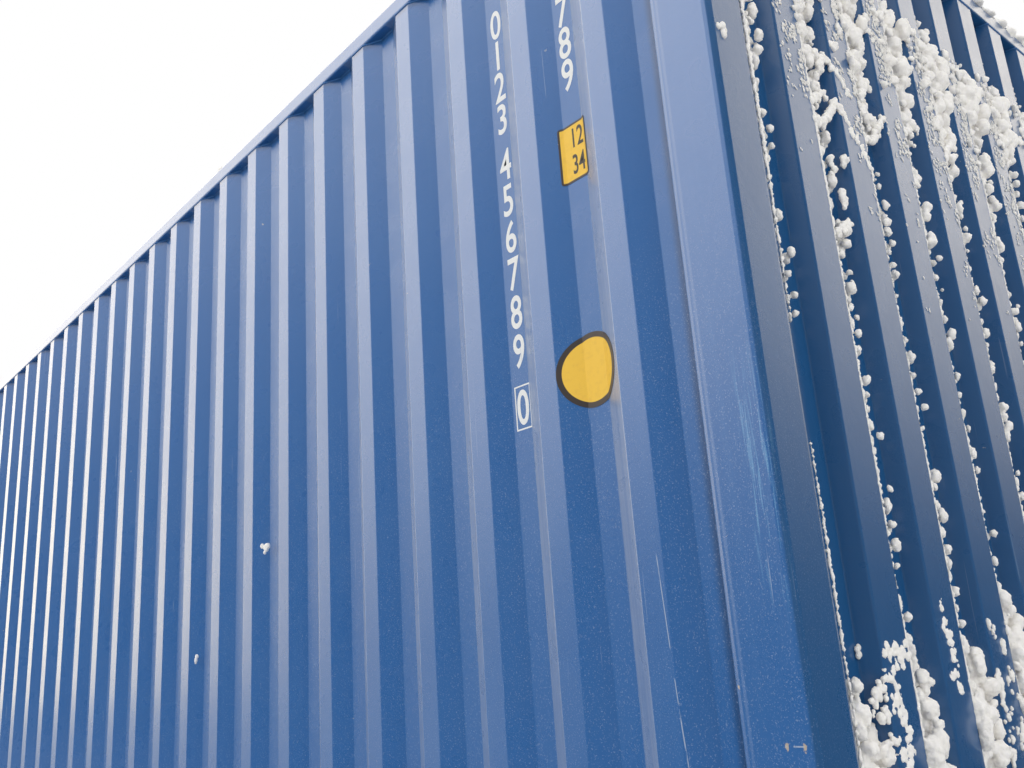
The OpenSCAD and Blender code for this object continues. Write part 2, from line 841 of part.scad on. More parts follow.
module bar_brackets() {
    depth = leaf_face - bar_axis;
    outer = bar_r + bar_gap + bracket_wall;
    low = leaf_low + leaf_rail_h / 2;
    high = leaf_top - leaf_rail_h / 2;
    under = handle_z - handle_drop - (hub_h + bracket_h) / 2 - bracket_off;
    over = (handle_z + high) / 2;
    color(zinc) at_bars() for (z = [low, under, over, high])
        translate([0, 0, z - bracket_h / 2]) difference() {
            union() {
                translate([-depth, -bracket_w / 2, 0]) cube([bracket_t, bracket_w, bracket_h]);
                translate([-depth, -outer, 0]) cube([depth, 2 * outer, bracket_h]);
                cylinder(bracket_h, outer, outer);
            }
            translate([0, 0, -cut])
                cylinder(bracket_h + 2 * cut, bar_r + bar_gap, bar_r + bar_gap);
        }
}

// Draws a handle's piece at each bar, pointing at the door's other bar
module at_handles() {
    at_end(false) both_sides() {
        translate([half_l - bar_axis, bar_in, handle_z]) children();
        translate([half_l - bar_axis, bar_out, handle_z - handle_drop]) mirror([0, 1, 0]) children();
    }
}

// Handle: a hub clamped round the bar and a flat bar that lies along the door
module door_handles() {
    hub_r = bar_r + bracket_wall;
    color(zinc) at_handles() difference() {
        union() {
            translate([0, 0, -hub_h / 2]) cylinder(hub_h, hub_r, hub_r);
            translate([bar_r - handle_t, 0, -handle_h / 2]) cube([handle_t, handle_l, handle_h]);
        }
        translate([0, 0, -hub_h / 2 - cut]) cylinder(hub_h + 2 * cut, bar_r, bar_r);
    }
}

// Catch: a plate on the leaf with a ledge under the handle's end
module handle_catches() {
    reach = leaf_face - bar_axis + bar_r;
    color(zinc) at_handles() translate([bar_axis - leaf_face, handle_l - catch_w, 0]) {
        translate([0, 0, -handle_h]) cube([bracket_t, catch_w, 2 * handle_h]);
        translate([0, 0, -handle_h / 2 - bracket_t - bar_gap]) cube([reach, catch_w, bracket_t]);
    }
}

// Heights of the hinges
hinge_places = [for (i = [0:hinge_count - 1])
    floor_top + hinge_end + (opening_h - 2 * hinge_end) * i / (hinge_count - 1)];
pin_x = half_l - pin_axis;
pin_y = opening_half - pin_off;

// Lugs stand out of the post's inner face above and below each blade and hold its pin
module hinge_lugs() {
    color(paint) at_end(false) both_sides() for (z = hinge_places) translate([pin_x, pin_y, z]) {
        for (s = [-1, 1]) translate([0, 0, s * (blade_h / 2 + lug_t / 2 + bar_gap) - lug_t / 2]) {
            cylinder(lug_t, eye_r, eye_r);
            translate([-eye_r, 0, 0]) cube([2 * eye_r, pin_off, lug_t]);
        }
        translate([0, 0, -blade_h / 2 - lug_t - bar_gap])
            cylinder(blade_h + 2 * (lug_t + bar_gap), pin_r, pin_r);
    }
}

module hinge_blades() {
    depth = leaf_face - pin_axis;
    color(paint) at_end(false) both_sides() for (z = hinge_places)
        translate([pin_x, pin_y, z - blade_h / 2]) difference() {
            union() {
                cylinder(blade_h, eye_r, eye_r);
                translate([-depth, -blade_l, 0]) cube([depth - pin_r, blade_l - eye_r / 2, blade_h]);
            }
            translate([0, 0, -cut]) cylinder(blade_h + 2 * cut, pin_r + bar_gap, pin_r + bar_gap);
        }
}

// Vent cover in a recess, with a sloping top and an open mouth below
module vents() {
    y = half_w - side_inset - side_depth;
    z = tube_low - vent_drop;
    front_x = side_first_x + side_slope + side_inner / 2 - vent_front * side_pitch;
    rear_x = side_first_x + side_slope + side_inner / 2 - (side_count - vent_rear) * side_pitch;
    low = -vent_h / 2;
    high = vent_h / 2;
    inner = vent_d - vent_t;
    color(paint) both_sides() for (x = [front_x, rear_x]) translate([0, y, z]) difference() {
        along_x(x - vent_w / 2, x + vent_w / 2)
            polygon([[0, low], [vent_d, low], [vent_d, high - vent_slope], [0, high]]);
        along_x(x - vent_w / 2 + vent_t, x + vent_w / 2 - vent_t)
            polygon([[vent_t, low - cut], [inner, low - cut],
                [inner, high - vent_slope - vent_t], [vent_t, high - vent_slope + vent_t]]);
    }
}

corner_fitting(true, false, false);  // front_bottom_right_fitting
corner_fitting(true, true, false);  // front_bottom_left_fitting
corner_fitting(false, false, false);  // rear_bottom_right_fitting
corner_fitting(false, true, false);  // rear_bottom_left_fitting
corner_fitting(true, false, true);  // front_top_right_fitting
corner_fitting(true, true, true);  // front_top_left_fitting
corner_fitting(false, false, true);  // rear_top_right_fitting
corner_fitting(false, true, true);  // rear_top_left_fitting
front_post(false);  // front_right_post
front_post(true);  // front_left_post
rear_post(false);  // rear_right_post
rear_post(true);  // rear_left_post
front_header();
front_sill();
door_header();
door_sill();
rain_gutter();
top_rail(false);  // right_top_rail
top_rail(true);  // left_top_rail
bottom_rail(false);  // right_bottom_rail
bottom_rail(true);  // left_bottom_rail
side_wall(false);  // right_wall
side_wall(true);  // left_wall
front_wall();
roof();
roof_end_plates();
roof_doublers();
cross_members();
outriggers();
tunnel_plate();
tunnel_bows();
tunnel_bolster();
floor_boards();
floor_rail();
door(false);  // right_door
door(true);  // left_door
door_gaskets();
locking_bars();
cam_keepers();
bar_brackets();
door_handles();
handle_catches();
hinge_lugs();
hinge_blades();
vents();
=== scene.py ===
"""Finishes a packed steel container: paint, marks, welds, fasteners and snow, with its camera and stage."""

import json
import math
import random
from contextlib import contextmanager
from functools import cached_property

import bmesh
import bpy
import numpy as np
from bpy.props import BoolProperty, FloatProperty, FloatVectorProperty, IntProperty, PointerProperty
from bpy.types import Operator, Panel, PropertyGroup
from mathutils import Matrix, Vector, noise


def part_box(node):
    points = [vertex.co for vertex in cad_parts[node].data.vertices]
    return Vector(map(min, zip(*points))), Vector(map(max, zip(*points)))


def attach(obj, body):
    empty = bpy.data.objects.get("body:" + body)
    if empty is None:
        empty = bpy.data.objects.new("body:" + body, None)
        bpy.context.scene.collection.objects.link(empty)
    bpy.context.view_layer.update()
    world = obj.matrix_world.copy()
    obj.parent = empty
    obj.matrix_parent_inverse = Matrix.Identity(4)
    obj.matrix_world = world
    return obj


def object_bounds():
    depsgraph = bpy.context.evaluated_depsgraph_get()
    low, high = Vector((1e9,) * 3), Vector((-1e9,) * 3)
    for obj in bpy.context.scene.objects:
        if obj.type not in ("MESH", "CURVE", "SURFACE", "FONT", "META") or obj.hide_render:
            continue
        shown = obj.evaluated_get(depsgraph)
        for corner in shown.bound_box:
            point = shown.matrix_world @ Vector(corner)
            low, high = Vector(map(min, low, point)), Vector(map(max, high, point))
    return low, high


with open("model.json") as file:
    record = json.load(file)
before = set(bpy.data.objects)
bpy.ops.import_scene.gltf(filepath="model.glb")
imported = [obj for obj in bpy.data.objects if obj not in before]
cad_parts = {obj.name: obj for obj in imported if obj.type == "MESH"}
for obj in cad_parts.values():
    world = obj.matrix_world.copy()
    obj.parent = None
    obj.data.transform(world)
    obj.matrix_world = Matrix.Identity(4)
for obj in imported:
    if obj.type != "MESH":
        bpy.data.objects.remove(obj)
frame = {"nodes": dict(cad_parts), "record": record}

bl_info = {
    "name": "Container Finish",
    "version": (1, 0, 0),
    "blender": (4, 5, 0),
    "location": "3D View > Sidebar > Container",
    "description": "Paints a packed steel container and adds its marks, welds, fasteners and snow",
    "category": "Object",
}

CAD_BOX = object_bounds()
NODES = frame["nodes"]

# Places that the frame gives
FRONT_X = CAD_BOX[1].x
REAR_X = CAD_BOX[0].x
RIGHT_Y = CAD_BOX[0].y
WALL_LOW, WALL_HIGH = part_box("right_wall")
FRONT_WALL_LOW, FRONT_WALL_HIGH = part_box("front_wall")
POST_LOW, POST_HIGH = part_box("front_right_post")
FRONT_RIB_X = FRONT_WALL_HIGH.x
# Thicknesses of the corrugated sheets, and the outer faces of their recesses
SIDE_SHEET = 0.0016
FRONT_SHEET = 0.002
RECESS_Y = WALL_HIGH.y - SIDE_SHEET
FRONT_RECESS_X = FRONT_WALL_LOW.x + FRONT_SHEET

# Side walls' corrugations: the edge of the first outer face, and the pitch of them all
RIB_X = FRONT_X - 0.313
RIB_PITCH = 0.278
# Front wall's ribs: the first one's middle, their pitch and half the width of their face
FIRST_RIB_Y = -0.875
FRONT_PITCH = 0.25
HALF_FACE = 0.055

# Planes that cut a section for a bead of weld, a little inside the end of the piece
CUT = 0.0006
END_CUT = 0.001
FITTING_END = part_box("right_top_rail")[1].x - CUT
FITTING_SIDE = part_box("front_header")[1].y - CUT
RAIL_WEB_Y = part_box("cross_members")[1].y - CUT
TUNNEL_Y = 0.5185 + CUT
OPENING_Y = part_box("door_sill")[1].y - CUT
VENT_Y = 1.1776 + 2 * CUT
KEEPER_X = REAR_X + 0.0475
WALL_ENDS = (WALL_LOW.z + END_CUT, WALL_HIGH.z - END_CUT)
FRONT_WALL_ENDS = (FRONT_WALL_LOW.z + END_CUT, FRONT_WALL_HIGH.z - END_CUT)
POST_ENDS = (POST_LOW.z + END_CUT, POST_HIGH.z - END_CUT)

# Outer faces of the brackets and catches, and of the hinge blades, where the bolts sit
BRACKET_X = REAR_X + 0.051
BLADE_X = REAR_X + 0.038


def length_setting(name, description, default, **limits):
    """Setting in metres."""
    return FloatProperty(name=name, description=description, default=default, unit="LENGTH", **limits)


def colour_setting(name, description, default):
    """Setting that holds a colour."""
    return FloatVectorProperty(
        name=name, description=description, default=default, subtype="COLOR", min=0, max=1)


def angle_setting(name, description, degrees):
    """Setting that holds an angle, here in degrees."""
    return FloatProperty(name=name, description=description, default=math.radians(degrees), subtype="ANGLE")


class ContainerPaintSettings(PropertyGroup):
    """Colours and gloss of the container's own finishes."""

    colour: colour_setting("Paint", "Colour of the paint on the steel", (0.022, 0.13, 0.38))
    faded: colour_setting("Faded paint", "Colour of the paint where it has chalked", (0.045, 0.165, 0.42))
    roughness: FloatProperty(
        name="Roughness", description="Roughness of sound paint", default=0.26, min=0, max=1)
    edge_radius: length_setting("Edge radius", "Radius at which paint rounds sharp edges", 0.004, min=0)


class ContainerMarkSettings(PropertyGroup):
    """Sizes and places of the painted digits, the plate and the round spot."""

    digit_height: length_setting("Digit height", "Height of the painted digits", 0.096)
    column_x: length_setting("Long column", "Place along the container of the long column of digits", 5.336)
    column_top: length_setting("Long column's top", "Height of the top of the long column", 2.567)
    short_x: length_setting("Short column", "Place along the container of the short column of digits", 5.609)
    short_top: length_setting("Short column's top", "Height of the top of the short column", 2.544)
    plate_x: length_setting("Plate", "Place along the container of the yellow plate's middle", 5.608)
    plate_z: length_setting("Plate height", "Height of the yellow plate's middle", 1.966)
    spot_x: length_setting("Spot", "Place along the container of the round spot's middle", 5.6)
    spot_z: length_setting("Spot height", "Height of the round spot's middle", 1.372)
    spot_radius: length_setting("Spot radius", "Radius of the round spot", 0.095)
    yellow: colour_setting("Yellow", "Colour of the plate and the spot", (0.9, 0.56, 0.055))
    white: colour_setting("White", "Colour of the painted digits", (0.84, 0.85, 0.84))


class ContainerSnowSettings(PropertyGroup):
    """How much snow clings to the front end and where."""

    show: BoolProperty(
        name="Snow", description="Put blown snow on the front end and the roof's edge", default=True)
    seed: IntProperty(
        name="Seed", description="Start of the random places and shapes of the lumps", default=7, min=1)


class ContainerCameraSettings(PropertyGroup):
    """Viewpoint of the photograph, in the container's own axes."""

    place: FloatVectorProperty(
        name="Place", description="Place of the lens", subtype="TRANSLATION", unit="LENGTH",
        default=(7.1279, -2.8058, 0.7070))
    heading: angle_setting("Heading", "Direction of the view, counted from +X towards +Y", 138.3398)
    rise: angle_setting("Rise", "Angle of the view above the horizon", 16.1101)
    roll: angle_setting("Roll", "Turn of the camera about its own axis", -4.0031)
    lens: FloatProperty(
        name="Lens", description="Focal length on a sensor 36 mm wide, in millimetres", default=33.394)


def math_method(operation, reflected=False):
    """Method of Value that adds a Math node; a reflected one takes its operands the other way round."""
    if reflected:
        return lambda value, other: value.math(operation, other, value)
    return lambda value, *others: value.math(operation, value, *others)


class Value:
    """An output of a shader node; arithmetic on it adds Math nodes."""

    def __init__(self, shader, socket):
        self.shader = shader
        self.socket = socket

    def math(self, operation, *operands):
        return self.shader.node("ShaderNodeMath", {"operation": operation}, dict(enumerate(operands)))

    __add__ = __radd__ = math_method("ADD")
    __sub__ = math_method("SUBTRACT")
    __rsub__ = math_method("SUBTRACT", reflected=True)
    __mul__ = __rmul__ = math_method("MULTIPLY")
    __truediv__ = math_method("DIVIDE")
    __pow__ = math_method("POWER")
    __abs__ = math_method("ABSOLUTE")
    fraction = math_method("FRACT")
    sine = math_method("SINE")
    least = math_method("MINIMUM")
    most = math_method("MAXIMUM")

    def ramp(self, low, high):
        """0 at low and 1 at high, with a soft change between them."""
        return self.shader.node(
            "ShaderNodeMapRange", {"interpolation_type": "SMOOTHSTEP"},
            {"Value": self, "From Min": low, "From Max": high})

    def band(self, low, high, soft):
        """1 between low and high, and 0 outside them."""
        return self.ramp(low - soft, low) * (1 - self.ramp(high, high + soft))


class Shader:
    """A material's or world's node tree, built from Python expressions."""

    def __init__(self, owner, coordinates="Object"):
        owner.use_nodes = True
        self.owner = owner
        self.coordinates = coordinates
        self.tree = owner.node_tree
        self.tree.nodes.clear()

    def node(self, kind, settings=None, inputs=None, output=0):
        """Adds a node: its settings first, then its sockets' values or links."""
        made = self.tree.nodes.new(kind)
        for name, value in (settings or {}).items():
            setattr(made, name, value)
        for name, value in (inputs or {}).items():
            if isinstance(value, Value):
                self.tree.links.new(value.socket, made.inputs[name])
            else:
                made.inputs[name].default_value = value
        return Value(self, made.outputs[output]) if made.outputs else made

    @cached_property
    def place(self):
        """Where on the container, or in which direction of the sky, the shader is."""
        return self.node("ShaderNodeTexCoord", output=self.coordinates)

    @cached_property
    def axes(self):
        """The place's x, y and z."""
        parts = self.node("ShaderNodeSeparateXYZ", inputs={"Vector": self.place}).socket.node
        return [Value(self, socket) for socket in parts.outputs]

    def noise(self, scale, detail=2, roughness=0.5, distortion=0, vector=None):
        return self.node("ShaderNodeTexNoise", inputs={
            "Vector": vector or self.place, "Scale": scale, "Detail": detail, "Roughness": roughness,
            "Distortion": distortion})

    def streaks(self, scale, *shape):
        """Noise with a scale of its own along each axis."""
        drawn = self.node("ShaderNodeMapping", inputs={"Vector": self.place, "Scale": scale})
        return self.noise(1, *shape, vector=drawn)

    def colour_mix(self, factor, *colours):
        """Between two colours: the first at 0 and the second at 1."""
        first, second = [end if isinstance(end, Value) else (*end, 1) for end in colours]
        return self.node("ShaderNodeMix", {"data_type": "RGBA"}, {0: factor, 6: first, 7: second}, 2)

    def bump(self, height, distance, strength=1, normal=None):
        inputs = {"Height": height, "Distance": distance, "Strength": strength}
        if normal:
            inputs["Normal"] = normal
        return self.node("ShaderNodeBump", inputs=inputs)

    def finish(self, **sockets):
        """Sends a Principled shader to the output and returns the material; underscores stand for spaces."""
        inputs = {name.replace("_", " "): value for name, value in sockets.items()}
        surface = self.node("ShaderNodeBsdfPrincipled", inputs=inputs)
        self.node("ShaderNodeOutputMaterial", inputs={"Surface": surface})
        return self.owner


def wall_zones(x, y, z):
    """1 on the side walls' corrugated sheets, and the place within one corrugation from 0 to 1.

    An outer face runs from 0 to 0.26, the slope that looks to the doors to 0.5, an inner face to
    0.76 and the slope that looks forward to 1.
    """
    soft = 0.004
    wall = (abs(y).ramp(1.16, 1.17) * x.band(REAR_X + 0.17, FRONT_X - 0.172, soft)
            * z.band(0.178, 2.825, soft))
    return wall, ((RIB_X - x) / RIB_PITCH).fraction()


def scratched(shader, colour, grit):
    """Fine upright scratches in patches, and the pale scrape down the corner post's edge."""
    x, y, z = shader.axes
    lines = shader.streaks((160, 160, 2.1), 2, 0.4)
    scratches = lines.ramp(0.735, 0.75) * shader.noise(3.1, 2).ramp(0.52, 0.6)
    colour = shader.colour_mix(scratches * 0.55, colour, (0.33, 0.42, 0.6))
    scrape = (shader.streaks((210, 210, 7.5), 4, 0.65).ramp(0.5, 0.64)
              * x.band(FRONT_X - 0.062, FRONT_X - 0.012, 0.018)
              * (1 - (y - RIGHT_Y).ramp(0.006, 0.02))
              * z.band(0.93, 1.1, 0.24) * (0.4 + grit.ramp(0.4, 0.62) * 0.6))
    return shader.colour_mix(scrape * 0.6, colour, (0.24, 0.5, 0.76))


def chipped_and_rusted(shader, colour):
    """Small chips down to the primer and specks of rust; returns the colour and where both are."""
    chips = shader.noise(34, 3, 0.7).ramp(0.725, 0.745) * shader.noise(2.6).ramp(0.56, 0.62)
    colour = shader.colour_mix(chips, colour, (0.62, 0.6, 0.54))
    rust = shader.noise(21, 5, 0.72).ramp(0.715, 0.76) * shader.noise(1.9).ramp(0.58, 0.66)
    rust_colour = shader.colour_mix(shader.noise(150, 2), (0.23, 0.075, 0.02), (0.09, 0.032, 0.014))
    return shader.colour_mix(rust, colour, rust_colour), rust + chips


def dust_sheen_and_shade(shader, colour, runs, zones):
    """Pale grey on the slopes that look to the doors, partly dust and partly painted reflection of the
    bright sky, and painted shade along the wall's front and upper edges.
    """
    x, y, z = shader.axes
    wall, step = zones
    # Partly dust and partly painted sky reflection: pale grey on the slopes that look to the doors,
    # strongest towards the front of the right side
    dust_and_sheen = wall * step.band(0.265, 0.495, 0.012)
    dust_and_sheen_spread = 0.3 + x.ramp(-6, 5) * (1 - y.ramp(-0.5, 0.5)) * 0.6
    washed = 0.16 + shader.noise(5, 4, 0.6) * 0.22 + runs.ramp(0.35, 0.7) * 0.12
    colour = shader.colour_mix(dust_and_sheen * dust_and_sheen_spread * washed, colour, (0.6, 0.62, 0.66))
    # Painted shade: darker blue in the strip beside the corner post and under the top rail
    corner = wall * (x.ramp(FRONT_X - 0.215, FRONT_X - 0.19) * 0.55).most(z.ramp(2.795, 2.825) * 0.5)
    return shader.colour_mix(corner, colour, (0.012, 0.035, 0.09))


def front_shade_and_frost(shader, colour):
    """Painted shade as a deeper blue on the front end, and a film of frost low on the right side and its
    corner post.
    """
    x, y, z = shader.axes
    # Painted shade: the front end is made a deeper blue than the sides
    front = x.ramp(FRONT_X - 0.058, FRONT_X - 0.05) * abs(y).ramp(1.2155, 1.211)
    colour = shader.colour_mix(front * 0.55, colour, (0.001, 0.055, 0.14))
    frost = (1 - front * 0.3) * z.band(0.25, 1.3, 0.5) * shader.noise(290, 3, 0.7).ramp(0.56, 0.7)
    return shader.colour_mix(frost * (y - POST_HIGH.y).ramp(0.01, 0) * 0.45, colour, (0.42, 0.5, 0.66))


# Chips low on the corner post: their place along the container, their height and their half size
POST_CHIPS = ((5.938, 0.624, 0.006), (6.032, 0.52, 0.009), (6.069, 0.517, 0.008))
# The long score beside the post: its place at its top, that top and how far it leans for each metre down
SCORE_X, SCORE_TOP, SCORE_LEAN = 5.767, 0.89, 0.052
# Height of the level nick between two of the chips
NICK_Z = 0.5185


def damaged(shader, colour):
    """Single chips, a long score and a short nick low on the right side."""
    x, y, z = shader.axes
    right_side = (y + 1.2).ramp(0, -0.01)
    for chip_x, chip_z, size in POST_CHIPS:
        apart = ((x - chip_x) ** 2 + ((z - chip_z) * 0.6) ** 2) ** 0.5
        apart = apart + shader.noise(160, 3) * size * 1.4
        chipped = right_side * (1 - apart.ramp(size, size * 1.3))
        colour = shader.colour_mix(chipped, colour, (0.5, 0.42, 0.34))
    scored = ((1 - abs(x - SCORE_X - (SCORE_TOP - z) * SCORE_LEAN).ramp(0.0006, 0.0016))
              * z.band(0.47, SCORE_TOP, 0.02))
    scored = scored.most((1 - abs(z - NICK_Z).ramp(0.0008, 0.002)) * x.band(6.03, 6.068, 0.004))
    broken = shader.streaks((60, 60, 14), 3).ramp(0.42, 0.5)
    return shader.colour_mix(scored * broken * right_side * 0.7, colour, (0.5, 0.56, 0.66))


def paint_finish(name, rough_cast=0.0):
    """Blue paint: chalked patches, rain streaks, wear, dust with painted sky reflection, painted shade,
    orange peel, fine grit and rounded edges.
    """
    settings = bpy.context.scene.container_paint
    shader = Shader(bpy.data.materials.new(name))
    zones = wall_zones(*shader.axes)
    wall, step = zones

    patches = shader.noise(1.3, 4, 0.55)
    streaks = shader.streaks((26, 26, 0.55), 5, 0.62)
    runs = shader.streaks((95, 95, 1.6), 3, 0.6)
    grit = shader.noise(620, 2, 0.6)
    peel = shader.noise(190, 3, 0.55)
    swell = shader.noise(9, 2)

    fade = (patches.ramp(0.35, 0.75) * 0.35 + streaks.ramp(0.5, 0.78) * 0.3
            + runs.ramp(0.6, 0.8) * 0.18 + grit.ramp(0.56, 0.78) * 0.22)
    colour = shader.colour_mix(fade, tuple(settings.colour), tuple(settings.faded))

    colour = scratched(shader, colour, grit)
    colour, bare = chipped_and_rusted(shader, colour)
    # Dust with painted sky reflection on the slopes, and painted shade along the wall's front and upper
    # edges
    colour = dust_sheen_and_shade(shader, colour, runs, zones)
    # Painted shade on the front end, then frost and damage
    colour = damaged(shader, front_shade_and_frost(shader, colour))
    sheltered = wall * step.ramp(0.485, 0.515) * (1 - step.ramp(0.74, 0.77) * 0.5)

    rounded = shader.node("ShaderNodeBevel", {"samples": 4}, {"Radius": settings.edge_radius})
    roughness = (settings.roughness + swell.ramp(0.3, 0.7) * 0.06 + grit.ramp(0.5, 0.8) * 0.12
                 + bare * 0.4).least(0.95)
    height = peel * 0.55 + grit * 0.3 + shader.noise(42, 2) * 0.7
    if rough_cast:
        height = height + shader.noise(120, 5, 0.7) * rough_cast
    normal = shader.bump(height, 0.0011, 0.4, rounded)
    return shader.finish(Base_Color=colour, Roughness=roughness, Normal=normal,
                         Specular_IOR_Level=0.45, Coat_Weight=0.8 - sheltered * 0.7, Coat_Roughness=0.2)


def zinc_finish(name):
    """Hot-dip galvanizing: flat crystals, grey bloom and a little rust."""
    shader = Shader(bpy.data.materials.new(name))
    crystals = shader.node("ShaderNodeTexVoronoi", inputs={"Vector": shader.place, "Scale": 150}, output=1)
    bloom = shader.noise(14, 4, 0.6)
    tint = shader.node("ShaderNodeRGBToBW", inputs={"Color": crystals})
    colour = shader.colour_mix(tint.ramp(0.1, 0.9) * 0.6, (0.4, 0.42, 0.44), (0.52, 0.54, 0.56))
    colour = shader.colour_mix(bloom.ramp(0.52, 0.72) * 0.7, colour, (0.46, 0.47, 0.47))
    rust = shader.noise(30, 4, 0.7).ramp(0.68, 0.76)
    colour = shader.colour_mix(rust * 0.8, colour, (0.2, 0.08, 0.03))
    return shader.finish(Base_Color=colour, Metallic=0.9 - bloom.ramp(0.5, 0.8) * 0.4 - rust * 0.5,
                         Roughness=0.45 + bloom * 0.2 + tint * 0.08 + rust * 0.2,
                         Normal=shader.bump(shader.noise(160, 3), 0.0006, 0.3))


def plywood_finish(name):
    """Sealed plywood boards with their grain along the container and plies at the edges."""
    shader = Shader(bpy.data.materials.new(name))
    grain = shader.streaks((1.2, 42, 60), 5, 0.6, 0.8)
    plies = (shader.axes[2] * 430).sine()
    colour = shader.colour_mix(grain, (0.2, 0.1, 0.045), (0.42, 0.25, 0.12))
    colour = shader.colour_mix(plies.ramp(0.2, 0.6) * 0.25, colour, (0.12, 0.06, 0.03))
    return shader.finish(Base_Color=colour, Roughness=0.5 + grain * 0.25,
                         Normal=shader.bump(grain, 0.0008, 0.4))


def rubber_finish(name):
    """Black seal rubber, a little dusty."""
    shader = Shader(bpy.data.materials.new(name))
    dust = shader.noise(30, 4, 0.6)
    colour = shader.colour_mix(dust.ramp(0.5, 0.8) * 0.6, (0.012, 0.012, 0.014), (0.07, 0.07, 0.07))
    return shader.finish(Base_Color=colour, Roughness=0.6 + dust * 0.25,
                         Normal=shader.bump(shader.noise(400, 2), 0.0003, 0.4))


def mark_finish(name, colour, wear=0.5):
    """Brushed marking paint, worn thin in fine streaks so that the blue shows through."""
    paint = bpy.context.scene.container_paint
    shader = Shader(bpy.data.materials.new(name))
    grit = shader.noise(330, 3, 0.65)
    runs = shader.streaks((150, 150, 9), 3, 0.6)
    worn = (grit.ramp(0.6, 0.72) * 0.4 + runs.ramp(0.62, 0.74) * 0.5) * wear
    mixed = shader.colour_mix(worn, tuple(colour), tuple(paint.faded))
    return shader.finish(Base_Color=mixed, Roughness=0.42 + grit * 0.2,
                         Normal=shader.bump(shader.noise(190, 3), 0.0008, 0.3))


def bordered_finish(name, distance_to_edge, border):
    """Yellow film with a dark border, printed by its distance from the edge."""
    marks = bpy.context.scene.container_marks
    shader = Shader(bpy.data.materials.new(name))
    x, _, z = shader.axes
    inside = distance_to_edge(x, z)
    dirt = shader.noise(60, 4, 0.6)
    yellow = shader.colour_mix(dirt.ramp(0.45, 0.8) * 0.5, tuple(marks.yellow), (0.72, 0.42, 0.06))
    colour = shader.colour_mix(inside.ramp(border - 0.0006, border + 0.0006), (0.045, 0.036, 0.035), yellow)
    return shader.finish(Base_Color=colour, Roughness=0.38 + dirt * 0.2,
                         Normal=shader.bump(shader.noise(140, 2), 0.0007, 0.3))


def snow_finish(name):
    """Packed, slightly melted snow."""
    shader = Shader(bpy.data.materials.new(name))
    clumps = shader.noise(90, 4, 0.6)
    colour = shader.colour_mix(clumps.ramp(0.3, 0.7), (0.93, 0.905, 0.87), (0.99, 0.965, 0.925))
    return shader.finish(Base_Color=colour, Roughness=0.62 + clumps * 0.2, Subsurface_Weight=0.25,
                         Subsurface_Radius=(0.012, 0.012, 0.014), Subsurface_Scale=0.6,
                         Normal=shader.bump(shader.noise(210, 5, 0.7), 0.004, 0.6))


def weld_finish(name):
    """Painted weld: the frame's blue over fine ripples, with a little rust."""
    settings = bpy.context.scene.container_paint
    shader = Shader(bpy.data.materials.new(name))
    rust = shader.noise(9, 4, 0.7).ramp(0.62, 0.7)
    colour = shader.colour_mix(shader.noise(40, 3), tuple(settings.colour), tuple(settings.faded))
    colour = shader.colour_mix(rust * 0.7, colour, (0.16, 0.055, 0.02))
    ripples = shader.noise(420, 2) + shader.noise(130, 2)
    return shader.finish(Base_Color=colour, Roughness=0.42 + rust * 0.4,
                         Normal=shader.bump(ripples, 0.0014, 0.7))


def deselect():
    """Leaves edit mode and selects nothing."""
    if bpy.context.object and bpy.context.object.mode != "OBJECT":
        bpy.ops.object.mode_set(mode="OBJECT")
    bpy.ops.object.select_all(action="DESELECT")


def pick(*objects):
    """Selects only these objects, and makes the first the active one."""
    deselect()
    for made in objects:
        made.select_set(True)
    bpy.context.view_layer.objects.active = objects[0]


@contextmanager
def editing(made):
    """Opens an object in edit mode with all of it selected, and closes it again."""
    pick(made)
    bpy.ops.object.mode_set(mode="EDIT")
    bpy.ops.mesh.select_all(action="SELECT")
    yield
    bpy.ops.object.mode_set(mode="OBJECT")


def settle(made, place, scale=(1, 1, 1)):
    """Sets the place and size of the selected new object, and puts both in its mesh."""
    made.location = place
    made.scale = scale
    bpy.ops.object.transform_apply(location=True, rotation=True, scale=True)
    return made


def upright_sheet(width, height, place):
    """Flat rectangle that looks towards -Y, with its middle at a place."""
    deselect()
    bpy.ops.mesh.primitive_plane_add(size=1, rotation=(math.radians(90), 0, 0))
    return settle(bpy.context.object, place, (width, height, 1))


def finished(made, name, material):
    """Names a new piece, puts its place in its mesh, gives it its material and fixes it to the body."""
    pick(made)
    bpy.ops.object.transform_apply(location=True, rotation=True, scale=True)
    made.name = name
    made.data.name = name
    made.data.materials.clear()
    made.data.materials.append(material)
    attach(made, "root")
    deselect()
    return made


def joined(pieces):
    """Joins the objects into the first one."""
    pick(*pieces)
    bpy.ops.object.join()
    return bpy.context.object


def apply_modifier(made, kind, **settings):
    """Adds a modifier with these settings and applies it."""
    modifier = made.modifiers.new(kind.title(), kind)
    for name, value in settings.items():
        setattr(modifier, name, value)
    pick(made)
    bpy.ops.object.modifier_apply(modifier=modifier.name)


class CONTAINER_OT_paint_frame(Operator):
    """Give every piece of the frame the finish of its material slot"""

    bl_idname = "container.paint_frame"
    bl_label = "Paint the frame"

    def execute(self, context):
        finishes = {
            "paint": paint_finish("blue_paint"),
            "cast_steel": paint_finish("blue_paint_on_castings", rough_cast=0.9),
            "zinc": zinc_finish("galvanizing"),
            "plywood": plywood_finish("plywood"),
            "rubber": rubber_finish("seal_rubber"),
        }
        for part in frame["record"]["subparts"]:
            node = NODES[part["node"]]
            node.data.materials.clear()
            node.data.materials.append(finishes[part["material_slot"]])
        return {"FINISHED"}


